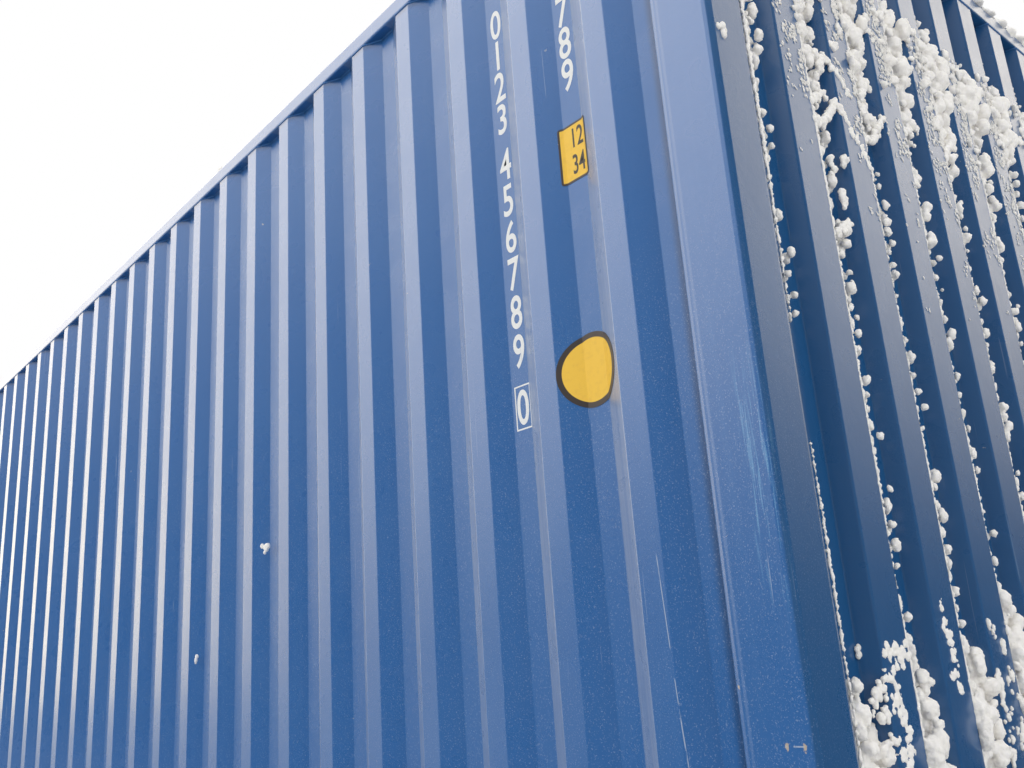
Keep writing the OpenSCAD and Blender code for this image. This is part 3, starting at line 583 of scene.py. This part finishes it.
def text_mesh(text, height, x, z, y, thickness, narrow):
    """One line of digits on a face that looks towards -Y, its middle at x and its foot at z."""
    deselect()
    bpy.ops.object.text_add(location=(0, 0, 0))
    made = bpy.context.object
    made.data.body = text
    made.data.align_x = "CENTER"
    made.data.extrude = thickness / 2
    made.data.offset = 0.012
    made.data.resolution_u = 6
    bpy.ops.object.convert(target="MESH")
    made = bpy.context.object
    low = min(v.co.y for v in made.data.vertices)
    scale = height / (max(v.co.y for v in made.data.vertices) - low)
    made.rotation_euler = (math.radians(90), 0, 0)
    return settle(made, (x, y - thickness / 2, z - low * scale), (scale * narrow, scale, 1))


class CONTAINER_OT_add_digits(Operator):
    """Add the two columns of plain painted digits in the side wall's recesses"""

    bl_idname = "container.add_digits"
    bl_label = "Add digit columns"

    film = 0.0004
    narrow = 0.74
    # Steps from digit to digit in the two groups of the long column and in the short column
    upper_step, lower_step, short_step = 0.1055, 0.1118, 0.1
    # How far below the long column's top the lower group starts and the boxed digit has its middle
    lower_drop, box_drop = 0.464, 1.226
    box_width, box_height, box_line = 0.062, 0.121, 0.0042

    def column(self, digits, x, top, step):
        """Digits one below the other, all of the same height."""
        height = bpy.context.scene.container_marks.digit_height
        return [text_mesh(digit, height, x, top - height - i * step, RECESS_Y, self.film, self.narrow)
                for i, digit in enumerate(digits)]

    def box_round(self, x, z):
        """Thin painted rectangle round a digit."""
        made = upright_sheet(self.box_width, self.box_height, (x, RECESS_Y - self.film / 2, z))
        with editing(made):
            bpy.ops.mesh.inset(thickness=self.box_line, depth=0)
            bpy.ops.mesh.delete(type="FACE")
        apply_modifier(made, "SOLIDIFY", thickness=self.film, offset=0)
        return made

    def execute(self, context):
        marks = context.scene.container_marks
        white = mark_finish("white_marking_paint", marks.white)
        x, top = marks.column_x, marks.column_top
        box_z = top - self.box_drop
        pieces = self.column("0123", x, top, self.upper_step)
        pieces += self.column("456789", x, top - self.lower_drop, self.lower_step)
        pieces += self.column("0", x, box_z + marks.digit_height / 2, 0)
        pieces.append(self.box_round(x + 0.001, box_z))
        finished(joined(pieces), "digit_column_long", white)
        pieces = self.column("6789", marks.short_x, marks.short_top, self.short_step)
        finished(joined(pieces), "digit_column_short", white)
        return {"FINISHED"}


# Printed film on the right wall: its thickness, the width of its strips, how far it stands off the
# wall, and how far out it starts before it is laid on the wall
FILM, STRIP, FILM_GAP, FILM_START = 0.0006, 0.004, 0.0004, 0.05


def wrapped_on_wall(made):
    """Cuts a flat sheet into upright strips, lays it on the corrugated wall and gives it its thickness."""
    low = min(v.co.x for v in made.data.vertices)
    high = max(v.co.x for v in made.data.vertices)
    with editing(made):
        for i in range(1, int((high - low) / STRIP)):
            bpy.ops.mesh.select_all(action="SELECT")
            bpy.ops.mesh.bisect(plane_co=(low + i * STRIP, 0, 0), plane_no=(1, 0, 0))
    apply_modifier(made, "SHRINKWRAP", wrap_method="PROJECT", target=NODES["right_wall"], offset=FILM_GAP,
                   use_project_y=True, use_negative_direction=False, use_positive_direction=True)
    apply_modifier(made, "SOLIDIFY", thickness=FILM, offset=1)


class CONTAINER_OT_add_plate(Operator):
    """Add the yellow plate with plain numbers, which bends over the edge of a recess"""

    bl_idname = "container.add_plate"
    bl_label = "Add yellow plate"

    def execute(self, context):
        marks = context.scene.container_marks
        width, height, corner, border = 0.1, 0.166, 0.008, 0.0058
        centre_x, centre_z = marks.plate_x, marks.plate_z
        plate = upright_sheet(width, height, (centre_x, WALL_LOW.y - FILM_START, centre_z))
        with editing(plate):
            bpy.ops.mesh.bevel(offset=corner, segments=4, affect="VERTICES")
        wrapped_on_wall(plate)

        def inside(x, z):
            across = abs(x - centre_x) - (width / 2 - corner)
            up = abs(z - centre_z) - (height / 2 - corner)
            out = (across.most(0) ** 2 + up.most(0) ** 2) ** 0.5
            return corner - out - across.most(up).least(0)

        finished(plate, "yellow_plate", bordered_finish("yellow_plate_print", inside, border))
        black = mark_finish("black_print", (0.03, 0.026, 0.024), 0.2)
        face_y = RECESS_Y - FILM_GAP - FILM
        ink, number_height, narrow, aside = 0.0003, 0.056, 0.62, 0.012
        rows = [text_mesh(number, number_height, centre_x + aside, centre_z + foot, face_y, ink, narrow)
                for number, foot in (("12", 0.012), ("34", -0.064))]
        finished(joined(rows), "plate_numbers", black)
        return {"FINISHED"}


class CONTAINER_OT_add_spot(Operator):
    """Add the plain yellow spot with a dark rim, which follows the corrugation"""

    bl_idname = "container.add_spot"
    bl_label = "Add yellow spot"

    def execute(self, context):
        marks = context.scene.container_marks
        centre_x, centre_z, radius = marks.spot_x, marks.spot_z, marks.spot_radius
        deselect()
        bpy.ops.mesh.primitive_circle_add(vertices=72, radius=radius, fill_type="NGON",
                                          rotation=(math.radians(90), 0, 0))
        spot = settle(context.object, (centre_x, WALL_LOW.y - FILM_START, centre_z))
        wrapped_on_wall(spot)

        def inside(x, z):
            return radius - ((x - centre_x) ** 2 + (z - centre_z) ** 2) ** 0.5

        rim = 0.014
        finished(spot, "yellow_spot", bordered_finish("yellow_spot_print", inside, rim))
        return {"FINISHED"}


def bead(made, radius):
    """Makes the object's loose edges into a round bead of weld."""
    pick(made)
    bpy.ops.object.convert(target="CURVE")
    made = bpy.context.object
    made.data.bevel_depth = radius
    made.data.bevel_resolution = 1
    bpy.ops.object.convert(target="MESH")
    bpy.ops.object.shade_smooth()
    return bpy.context.object


def seam(node, axis, place, radius):
    """Bead round every section of a node where a plane square to an axis cuts it."""
    normal = Vector([float(axis == i) for i in range(3)])
    pick(NODES[node])
    bpy.ops.object.duplicate()
    made = bpy.context.object
    with editing(made):
        bpy.ops.mesh.remove_doubles(threshold=0.00002)
        bpy.ops.mesh.select_all(action="SELECT")
        bpy.ops.mesh.bisect(plane_co=normal * place, plane_no=normal)
        bpy.ops.mesh.select_all(action="INVERT")
        bpy.ops.mesh.delete(type="VERT")
        bpy.ops.mesh.select_all(action="SELECT")
        bpy.ops.mesh.delete(type="ONLY_FACE")
    return bead(made, radius)


def frame_round(low_x, high_x, low_y, high_y, z, radius):
    """Bead along the four sides of a level rectangle."""
    deselect()
    bpy.ops.mesh.primitive_plane_add(size=1)
    made = settle(bpy.context.object, ((low_x + high_x) / 2, (low_y + high_y) / 2, z),
                  (high_x - low_x, high_y - low_y, 1))
    with editing(made):
        bpy.ops.mesh.delete(type="ONLY_FACE")
    return bead(made, radius)


# Radii of the beads of weld
WALL_BEAD = 0.0034
POST_BEAD = 0.0038
RAIL_BEAD = 0.0036
SMALL_BEAD = 0.0028
VENT_BEAD = 0.0022
# Axes that a plane of section is square to
ALONG, ACROSS, UP = range(3)


class CONTAINER_OT_add_welds(Operator):
    """Lay beads of weld where the frame's pieces meet"""

    bl_idname = "container.add_welds"
    bl_label = "Add welds"

    # Each piece of weld: its name, its node, the axis and places of its planes, and its radius
    seams = (
        ("right_wall_welds", "right_wall", UP, WALL_ENDS, WALL_BEAD),
        ("left_wall_welds", "left_wall", UP, WALL_ENDS, WALL_BEAD),
        ("front_wall_welds", "front_wall", UP, FRONT_WALL_ENDS, WALL_BEAD),
        ("front_right_post_welds", "front_right_post", UP, POST_ENDS, POST_BEAD),
        ("front_left_post_welds", "front_left_post", UP, POST_ENDS, POST_BEAD),
        ("rear_right_post_welds", "rear_right_post", UP, POST_ENDS, POST_BEAD),
        ("rear_left_post_welds", "rear_left_post", UP, POST_ENDS, POST_BEAD),
        ("right_rail_welds", "right_top_rail", ALONG, (-FITTING_END, FITTING_END), RAIL_BEAD),
        ("left_rail_welds", "left_top_rail", ALONG, (-FITTING_END, FITTING_END), RAIL_BEAD),
        ("header_welds", "front_header", ACROSS, (-FITTING_SIDE, FITTING_SIDE), RAIL_BEAD),
        ("cross_member_welds", "cross_members", ACROSS, (-RAIL_WEB_Y, RAIL_WEB_Y), WALL_BEAD),
        ("outrigger_welds", "outriggers", ACROSS, (-RAIL_WEB_Y, -TUNNEL_Y, TUNNEL_Y, RAIL_WEB_Y), WALL_BEAD),
        ("door_sill_welds", "door_sill", ACROSS, (-OPENING_Y, OPENING_Y), RAIL_BEAD),
        ("door_header_welds", "door_header", ACROSS, (-OPENING_Y, OPENING_Y), RAIL_BEAD),
        ("hinge_lug_welds", "hinge_lugs", ACROSS, (-OPENING_Y, OPENING_Y), SMALL_BEAD),
        ("keeper_welds", "cam_keepers", ALONG, (KEEPER_X,), SMALL_BEAD),
        ("vent_welds", "vents", ACROSS, (-VENT_Y, VENT_Y), VENT_BEAD),
    )

    def execute(self, context):
        material = weld_finish("painted_weld")
        for name, node, axis, places, radius in self.seams:
            pieces = [seam(node, axis, place, radius) for place in places]
            finished(joined(pieces), name, material)
        low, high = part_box("roof")
        edge = frame_round(low.x, high.x, low.y, high.y, high.z - END_CUT, RAIL_BEAD)
        finished(edge, "roof_welds", material)
        return {"FINISHED"}


class CONTAINER_OT_add_fasteners(Operator):
    """Bolt the bearing brackets, the catches and the hinge blades to the doors"""

    bl_idname = "container.add_fasteners"
    bl_label = "Add bolts"

    # Distances from the container's middle plane, and heights; a catch has one of each
    bar_places = (0.24, 0.83)
    bracket_heights = (0.255, 1.045, 2.0, 2.67)
    catch_places = ((0.68, 1.33), (0.39, 1.18))
    hinge_heights = (0.43, 1.1183, 1.8067, 2.495)
    blade_places = (1.055, 1.1)
    # Half the distances between bolts: across and upwards for a bracket and a catch, upwards for a blade
    bracket_apart = (0.04, 0.018)
    catch_apart = (0.018, 0.026)
    blade_apart = 0.018

    def four(self, y, z, apart):
        """Places of the four bolts round a point of a bracket or a catch."""
        across, upwards = apart
        return [(BRACKET_X, y + off, z + up) for off in (-across, across) for up in (-upwards, upwards)]

    def execute(self, context):
        deselect()
        bolt = self.bolt()
        brackets, catches, hinges = [], [], []
        for side in (-1, 1):
            for bar in self.bar_places:
                for z in self.bracket_heights:
                    brackets += self.four(side * bar, z, self.bracket_apart)
            for y, z in self.catch_places:
                catches += self.four(side * y, z, self.catch_apart)
            hinges += [(BLADE_X, side * y, z + up) for y in self.blade_places for z in self.hinge_heights
                       for up in (-self.blade_apart, self.blade_apart)]
        for name, places, finish, slot in (
                ("bracket_bolts", brackets, "galvanizing", "zinc"),
                ("catch_bolts", catches, "galvanizing", "zinc"),
                ("hinge_bolts", hinges, "blue_paint", "paint")):
            made = scattered(name, bolt.data, [Matrix.Translation(place) for place in places])
            finished(made, name, bpy.data.materials[finish])
        bpy.data.objects.remove(bolt)
        return {"FINISHED"}

    def bolt(self):
        """Hexagon head on a washer, pointing to the rear."""
        bpy.ops.mesh.primitive_cylinder_add(vertices=24, radius=0.011, depth=0.002,
                                            location=(-0.001, 0, 0), rotation=(0, math.radians(90), 0))
        washer = bpy.context.object
        bpy.ops.mesh.primitive_cylinder_add(vertices=6, radius=0.0082, depth=0.0055,
                                            location=(-0.0047, 0, 0), rotation=(0, math.radians(90), 0))
        head = bpy.context.object
        with editing(head):
            bpy.ops.mesh.bevel(offset=0.0007, segments=1, affect="EDGES")
        pick(head, washer)
        bpy.ops.object.transform_apply(location=True, rotation=True, scale=True)
        return joined([head, washer])


def scattered(name, source, places):
    """One object that holds a copy of the source mesh at each of the places."""
    gathered = bmesh.new()
    for place in places:
        copy = source.copy()
        copy.transform(place)
        gathered.from_mesh(copy)
        bpy.data.meshes.remove(copy)
    mesh = bpy.data.meshes.new(name)
    gathered.to_mesh(mesh)
    gathered.free()
    made = bpy.data.objects.new(name, mesh)
    bpy.context.scene.collection.objects.link(made)
    return made


def at_knots(knots, value):
    """Reads a curve given as pairs, straight between them."""
    return float(np.interp(value, [knot[0] for knot in knots], [knot[1] for knot in knots]))


class CONTAINER_OT_add_snow(Operator):
    """Pack blown snow into the front wall's recesses, with crusts on the edges and flakes on the faces"""

    bl_idname = "container.add_snow"
    bl_label = "Add snow"

    # Load of snow at each height, 0 for none and 1 for a full recess
    wall_load = ((0.2, 1), (0.52, 1), (0.62, 0.85), (0.72, 0.45), (0.9, 0.28), (1.3, 0.28), (1.7, 0.4),
                 (1.95, 0.58), (2.15, 0.74), (2.35, 0.98), (2.45, 1.05), (2.54, 0.4), (2.58, 0))
    post_load = ((0.2, 1), (0.5, 0.95), (0.6, 0.6), (0.64, 0.02), (1.3, 0.02), (1.45, 0.14), (1.8, 0.2),
                 (2.0, 0.42), (2.3, 0.5), (2.54, 0.3), (2.58, 0))

    # How much higher than that load the foot of each drift reaches, the last for all that follow
    rises = (-0.1, -0.05, 0.1, 0.15)
    # Fineness of each drift's skin, coarser away from the corner
    voxels = (0.003, 0.003, 0.004, 0.004, 0.004, 0.005, 0.005, 0.005)
    # Heights at which the crusts and the drifts start, and where both end
    crust_foot, drift_foot, head = 0.16, 0.14, 2.6
    flake_count, clod_tries, cap_lumps = 560, 600, 700
    # Share of its triangles that a skin keeps
    kept = 0.42
    # Paths of the bridges across the wall and upwards
    bridges = (
        ((-0.99, 0.575), (-0.95, 0.6), (-0.91, 0.625), (-0.873, 0.648), (-0.83, 0.675)),
        ((-0.915, 0.66), (-0.885, 0.685), (-0.86, 0.66), (-0.85, 0.63)),
        ((-0.97, 0.545), (-0.93, 0.56), (-0.9, 0.585)),
        ((-0.9, 0.6), (-0.885, 0.56), (-0.88, 0.5), (-0.885, 0.44), (-0.89, 0.38)),
        ((-0.93, 0.5), (-0.9, 0.45), (-0.91, 0.4), (-0.9, 0.3)),
        ((-0.63, 0.775), (-0.625, 0.765)),
        ((-0.64, 0.72), (-0.63, 0.69), (-0.615, 0.65), (-0.605, 0.63)),
        ((-0.645, 0.6), (-0.63, 0.61), (-0.62, 0.58)),
        ((-0.82, 1.94), (-0.76, 1.96), (-0.71, 2.02), (-0.68, 2.03), (-0.64, 1.97), (-0.6, 1.93),
         (-0.57, 1.87)),
        ((-0.75, 2.12), (-0.71, 2.17), (-0.66, 2.13), (-0.61, 2.08)),
        ((-0.82, 1.99), (-0.77, 2.03), (-0.74, 2.04)),
        ((-0.57, 1.97), (-0.52, 1.98), (-0.48, 2.03), (-0.44, 2.08)),
        ((-0.55, 2.1), (-0.5, 2.16), (-0.47, 2.15)),
        ((-0.57, 2.3), (-0.5, 2.33), (-0.44, 2.37), (-0.4, 2.34)),
        ((-0.32, 2.07), (-0.26, 2.12), (-0.22, 2.11)),
        ((-0.27, 2.25), (-0.22, 2.33), (-0.17, 2.34)),
        ((-0.07, 2.07), (-0.02, 2.13), (0.02, 2.16)),
        ((-0.77, 1.815), (-0.765, 1.83)),
        ((-0.705, 1.85), (-0.695, 1.87), (-0.7, 1.88)),
        ((-0.745, 1.72), (-0.74, 1.745), (-0.73, 1.765)),
        ((-0.8, 1.64), (-0.77, 1.66), (-0.73, 1.69)),
        ((-0.53, 1.73), (-0.525, 1.75)),
    )

    def execute(self, context):
        settings = context.scene.container_snow
        if not settings.show:
            return {"FINISHED"}
        deselect()
        bpy.ops.mesh.primitive_ico_sphere_add(subdivisions=2, radius=1)
        self.lump = context.object
        deselect()
        bpy.ops.mesh.primitive_ico_sphere_add(subdivisions=1, radius=1)
        self.splinter = context.object
        self.chance = random.Random(settings.seed)
        # Without a seed, and with 0, noise_vector draws its offsets from the clock
        noise.seed_set(settings.seed)
        self.material = snow_finish("packed_snow")
        self.drift("snow_drift_0", POST_HIGH.y, FRONT_X - 0.003, 0.124, self.post_load, self.voxels[0])
        for k, voxel in enumerate(self.voxels):
            edge = FIRST_RIB_Y + k * FRONT_PITCH + HALF_FACE
            raised = self.rises[min(k, len(self.rises) - 1)]
            self.drift(f"snow_drift_{k + 1}", edge, FRONT_RIB_X, 0.13, self.wall_load, voxel, raised)
        for k in range(6):
            self.flakes(f"ice_flakes_{k + 1}", FIRST_RIB_Y + k * FRONT_PITCH, 0.24 + min(k, 3) * 0.06)
        self.clods()
        self.arches()
        self.cap()
        self.specks()
        bpy.data.objects.remove(self.lump)
        bpy.data.objects.remove(self.splinter)
        return {"FINISHED"}

    def place(self, centre, size, turn=None):
        """Matrix of a lump: its centre, its three half sizes and its turn."""
        turn = turn or Matrix.Rotation(self.chance.uniform(0, 6.28), 4, "Z")
        return Matrix.Translation(centre) @ turn @ Matrix.Diagonal((*size, 1))

    def skin(self, name, places, voxel, depth, grain):
        """Melts lumps at these places into one skin, roughens it, thins its mesh and finishes it."""
        made = scattered(name, self.lump.data, places)
        apply_modifier(made, "REMESH", mode="VOXEL", voxel_size=voxel, use_smooth_shade=True)
        for size, strength in ((grain, depth), (grain * 0.35, depth * 0.5)):
            texture = bpy.data.textures.new(name, "CLOUDS")
            texture.noise_scale = size
            texture.noise_depth = 2
            apply_modifier(made, "DISPLACE", texture=texture, strength=strength, mid_level=0.45,
                           texture_coords="LOCAL")
        apply_modifier(made, "DECIMATE", ratio=self.kept)
        finished(made, name, self.material)

    def drift(self, name, edge_y, edge_x, width, load, voxel, raised=0.0):
        """Snow in the recess on the far side of an edge, its foot raised, and the crust on that edge."""
        chance = self.chance
        depth = edge_x - FRONT_RECESS_X
        places = []
        z = self.crust_foot
        while z < self.head:
            crusted = noise.noise(Vector((edge_y * 7, 0, z * 2.3))) + at_knots(load, z) * 0.6
            if crusted > -0.2:
                size = chance.uniform(0.0018, 0.003) + max(crusted, 0) * 0.0022
                places.append(self.place((edge_x - 0.0022, edge_y + chance.uniform(0, 0.003), z),
                                         (size, size, size * chance.uniform(1, 2.6))))
            z += chance.uniform(0.003, 0.007)
        z = self.drift_foot
        while z < self.head:
            amount = at_knots(load, z - raised if z < 1.2 else z)
            clumped = 0.5 + 1.5 * noise.noise(Vector((edge_y * 31, 3.3, z * 9)))
            amount = min(amount, 1.1) * (clumped * (1 - amount) + amount if amount < 1 else 1)
            if amount > 0.02:
                size = chance.uniform(0.005, 0.011 + 0.014 * amount)
                near = 0.026 * (1 - amount) + 0.004
                y = edge_y + near + chance.random() * (0.036 + (width - 0.05) * amount ** 1.6)
                high = chance.uniform(0.25, 0.8 + 0.45 * amount)
                places.append(self.place(
                    (FRONT_RECESS_X + high * depth, y, z),
                    (size, size * chance.uniform(0.7, 1.1), size * chance.uniform(0.8, 1.7))))
                places.append(self.place(
                    (FRONT_RECESS_X + high * depth * 0.4, y + chance.uniform(-0.01, 0.01), z - size * 0.5),
                    (size * 1.1, size, size * 1.2)))
                if chance.random() < amount - 0.55 and z > 1.9:
                    bridge_y = edge_y - chance.random() ** 1.5 * 0.11
                    places.append(self.place((edge_x + 0.002, bridge_y, z + (edge_y - bridge_y) * 0.5),
                                             (size * 0.35, size * 0.9, size * 0.7)))
            z += 1 / (20 + 200 * max(amount, 0) ** 2)
        self.skin(name, places, voxel, depth=0.011, grain=0.012)

    def clods(self):
        """Broken crust over the foot of the ribs beyond the second."""
        chance = self.chance
        places = []
        for i in range(self.clod_tries):
            rib = 2 + i % 3
            z = 0.3 + chance.random() * (0.36 + rib * 0.03)
            y = FIRST_RIB_Y + rib * FRONT_PITCH + chance.uniform(-0.058, 0.058)
            if noise.noise(Vector((y * 34, 5.1, z * 16))) > 0.3 - rib * 0.14:
                size = chance.uniform(0.0035, 0.0105)
                places.append(self.place((FRONT_RIB_X + 0.001, y, z), (size * 0.6, size * 0.8, size * 1.2)))
        self.skin("snow_clods", places, voxel=0.0022, depth=0.006, grain=0.008)

    def arches(self):
        """Thin bridges of snow from one rib's edge over the recess to the next rib."""
        chance = self.chance
        places = []
        for points in self.bridges:
            for (y, z), (next_y, next_z) in zip(points, points[1:]):
                spread = 0.009 if z < 1 else 0.0055
                count = max(2, int(math.dist((y, z), (next_y, next_z)) / 0.003))
                for i in range(count):
                    at = i / count
                    size = chance.uniform(0.0035, 0.0115)
                    centre = (FRONT_RIB_X - 0.004, y + (next_y - y) * at + chance.gauss(0, spread),
                              z + (next_z - z) * at + chance.gauss(0, spread))
                    places.append(self.place(centre, (size * 0.8, size * 0.8, size)))
        self.skin("snow_bridges", places, voxel=0.0025, depth=0.007, grain=0.009)

    def flakes(self, name, middle_y, reach):
        """Thin slanted crusts of ice on the face of a rib."""
        chance = self.chance
        places = []
        while len(places) < self.flake_count:
            z = 2.5 - abs(chance.gauss(0, reach))
            y = middle_y + HALF_FACE * (1 - abs(chance.gauss(0, 0.9)))
            packed = noise.noise(Vector((y * 26, 1.7, z * 17)))
            if abs(y - middle_y) > HALF_FACE or z > 2.56 or packed < 0.25 - (z - 1.7) * 0.5:
                continue
            length = chance.uniform(0.0035, 0.0095)
            slant = Matrix.Rotation(math.radians(chance.gauss(28, 22)), 4, "X")
            places.append(self.place((FRONT_RIB_X + 0.0006, y, z), (0.0024, 0.0026, length), slant))
        made = scattered(name, self.splinter.data, places)
        self.jitter(made, 0.0018)
        finished(made, name, self.material)

    def jitter(self, made, amount):
        """Moves each corner a little, so that no two splinters are alike."""
        for vertex in made.data.vertices:
            place = vertex.co
            vertex.co = place + noise.noise_vector(place * 400) * amount
        pick(made)
        bpy.ops.object.shade_smooth()

    def cap(self):
        """Snow that lies on the roof's front edge."""
        chance = self.chance
        places = []
        low_y, high_y = -0.3, 1.12
        for _ in range(self.cap_lumps):
            y = chance.uniform(low_y, high_y)
            body = min(1, (y - low_y) / 0.4, (high_y - y) / 0.25)
            reach = 0.02 + 0.2 * body * (0.6 + noise.noise(Vector((y * 7, 8.3, 0))))
            high = (0.006 + 0.034 * (0.5 + 0.5 * math.sin(y * 9)) * chance.random()) * (0.3 + 0.7 * body)
            size = chance.uniform(0.008, 0.014 + 0.02 * body)
            places.append(self.place((FRONT_X - 0.008 - chance.random() * reach, y, CAD_BOX[1].z - 0.006),
                                     (size, size, high)))
        self.skin("snow_cap", places, voxel=0.005, depth=0.006, grain=0.02)

    def specks(self):
        """Single clots of snow on the top rail, the side wall, the corner post and the front wall."""
        spots = (((3.47, -1.205, 2.892), 0.02),
                 ((3.94, WALL_LOW.y, 1.144), 0.02),
                 ((3.36, WALL_LOW.y, 0.79), 0.015),
                 ((FRONT_X - 0.003, -1.176, 2.05), 0.018),
                 ((FRONT_RECESS_X + 0.004, -0.943, 0.671), 0.018))
        places = []
        for centre, size in spots:
            for _ in range(7):
                offset = Vector([self.chance.gauss(0, size * 0.45) for _ in range(3)])
                outward = 0 if centre[0] > POST_LOW.x else 1
                offset[outward] *= 0.2
                part = size * self.chance.uniform(0.25, 0.5)
                places.append(self.place(Vector(centre) + offset, (part, part, part * 1.3)))
        self.skin("snow_specks", places, voxel=0.0015, depth=0.002, grain=0.006)


# Directions in the sky, counted from +X towards +Y: the bright sky past the container's rear, the sky
# ahead of the camera, the warm glow low down, and the brighter side of the plain light
GLOW_SIDE = 200
AHEAD_SIDE = 125
WARM_SIDE = 193
OPEN_SIDE = 325


def level_direction(x, y, degrees):
    """How far a direction points to one side: 1 straight there, -1 straight away from it."""
    angle = math.radians(degrees)
    return (x * math.cos(angle) + y * math.sin(angle)) / ((x * x + y * y) ** 0.5 + 0.001)


class CONTAINER_OT_set_stage(Operator):
    """Add the pale floor, the overcast sky and one soft lamp"""

    bl_idname = "container.set_stage"
    bl_label = "Set the stage"

    def execute(self, context):
        deselect()
        bpy.ops.mesh.primitive_plane_add(size=90)
        floor = context.object
        floor.name = "studio_floor"
        floor.data.materials.append(self.floor_material())
        self.sky()
        bpy.ops.object.light_add(type="SUN", rotation=(math.radians(52), 0, math.radians(-72)))
        lamp = context.object
        lamp.name = "soft_lamp"
        lamp.data.energy = 0.35
        lamp.data.angle = math.radians(80)
        context.scene.view_settings.view_transform = "Standard"
        return {"FINISHED"}

    def floor_material(self):
        """Pale; in reflections it is dull ground, except towards the rear, where it catches the glow."""
        material = bpy.data.materials.new("pale_floor")
        shader = Shader(material)
        x, y, _ = shader.axes
        lit = level_direction(x - 5, y + 1.2, GLOW_SIDE).ramp(0.8, 0.94)
        mirrored = shader.node("ShaderNodeLightPath", output="Is Glossy Ray")
        lightness = mirrored * (0.05 + lit * 0.75) + (1 - mirrored) * 0.75
        grey = shader.node("ShaderNodeCombineXYZ", inputs={0: lightness, 1: lightness, 2: lightness})
        surface = shader.node("ShaderNodeBsdfDiffuse", inputs={"Color": grey})
        shader.node("ShaderNodeOutputMaterial", inputs={"Surface": surface})
        return material

    def sky(self):
        """White to the camera and plain as a light; in reflections it has a skyline and a low glow."""
        world = bpy.data.worlds.new("overcast_sky")
        bpy.context.scene.world = world
        shader = Shader(world, "Generated")
        x, y, z = shader.axes
        skyline = (0.66 - level_direction(x, y, GLOW_SIDE) * 0.5).least(0.82)
        grazing = level_direction(x, y, GLOW_SIDE).ramp(0.955, 0.99)
        behind = (z - skyline).ramp(-0.3, 0.3) * (3.0 - grazing * 0.8)
        ahead = level_direction(x, y, AHEAD_SIDE).ramp(0.17, 0.515) * z.ramp(-0.02, 0.5) * 2.0
        glow = level_direction(x, y, WARM_SIDE).ramp(0.95, 1) * (1 - abs(z - 0.06).ramp(0, 0.35)) * 1.9
        shown = behind.most(ahead) + glow + 0.03
        plain = (0.98 - z.ramp(0.1, 1) * 0.34) + level_direction(x, y, OPEN_SIDE).ramp(0.1, 1) * 0.45
        seen = shader.node("ShaderNodeLightPath", output="Is Camera Ray")
        mirrored = shader.node("ShaderNodeLightPath", output="Is Glossy Ray")
        strength = seen + mirrored * shown + (1 - seen - mirrored) * plain
        tint = shader.colour_mix(glow.ramp(0, 1.6), (1, 0.92, 0.8), (1, 0.88, 0.66))
        tint = shader.colour_mix(mirrored, (1, 1, 1), tint)
        lit = shader.node("ShaderNodeBackground", inputs={"Color": tint, "Strength": strength})
        shader.node("ShaderNodeOutputWorld", inputs={"Surface": lit})


class CONTAINER_OT_place_camera(Operator):
    """Put the camera where the photograph was taken from"""

    bl_idname = "container.place_camera"
    bl_label = "Place the camera"

    def execute(self, context):
        settings = context.scene.container_camera
        turn = settings.heading
        rise = settings.rise
        ahead = Vector((math.cos(rise) * math.cos(turn), math.cos(rise) * math.sin(turn), math.sin(rise)))
        right = ahead.cross(Vector((0, 0, 1))).normalized()
        up = right.cross(ahead)
        cos, sin = math.cos(settings.roll), math.sin(settings.roll)
        axes = Matrix((right * cos + up * sin, up * cos - right * sin, -ahead)).transposed()
        bpy.ops.object.camera_add(location=settings.place, rotation=axes.to_euler())
        camera = context.object
        camera.name = "photo_camera"
        camera.data.lens = settings.lens
        camera.data.sensor_width = 36
        camera.data.clip_end = 300
        context.scene.camera = camera
        return {"FINISHED"}


SETTINGS = {
    "container_paint": ContainerPaintSettings,
    "container_marks": ContainerMarkSettings,
    "container_snow": ContainerSnowSettings,
    "container_camera": ContainerCameraSettings,
}

STEPS = [
    CONTAINER_OT_place_camera,
    CONTAINER_OT_set_stage,
    CONTAINER_OT_paint_frame,
    CONTAINER_OT_add_welds,
    CONTAINER_OT_add_fasteners,
    CONTAINER_OT_add_digits,
    CONTAINER_OT_add_plate,
    CONTAINER_OT_add_spot,
    CONTAINER_OT_add_snow,
]


class CONTAINER_PT_finish(Panel):
    """Lists the settings and the steps that finish the container"""

    bl_label = "Container Finish"
    bl_space_type = "VIEW_3D"
    bl_region_type = "UI"
    bl_category = "Container"

    def draw(self, context):
        for group in SETTINGS:
            for name in SETTINGS[group].__annotations__:
                self.layout.prop(getattr(context.scene, group), name)
        for step in STEPS:
            self.layout.operator(step.bl_idname)


CLASSES = [*SETTINGS.values(), *STEPS, CONTAINER_PT_finish]


def register():
    for made in CLASSES:
        bpy.utils.register_class(made)
    for name, group in SETTINGS.items():
        setattr(bpy.types.Scene, name, PointerProperty(type=group))


def unregister():
    for name in SETTINGS:
        delattr(bpy.types.Scene, name)
    for made in reversed(CLASSES):
        bpy.utils.unregister_class(made)


def main():
    register()
    for step in STEPS:
        group, name = step.bl_idname.split(".")
        getattr(getattr(bpy.ops, group), name)()


if __name__ == "__main__":
    main()
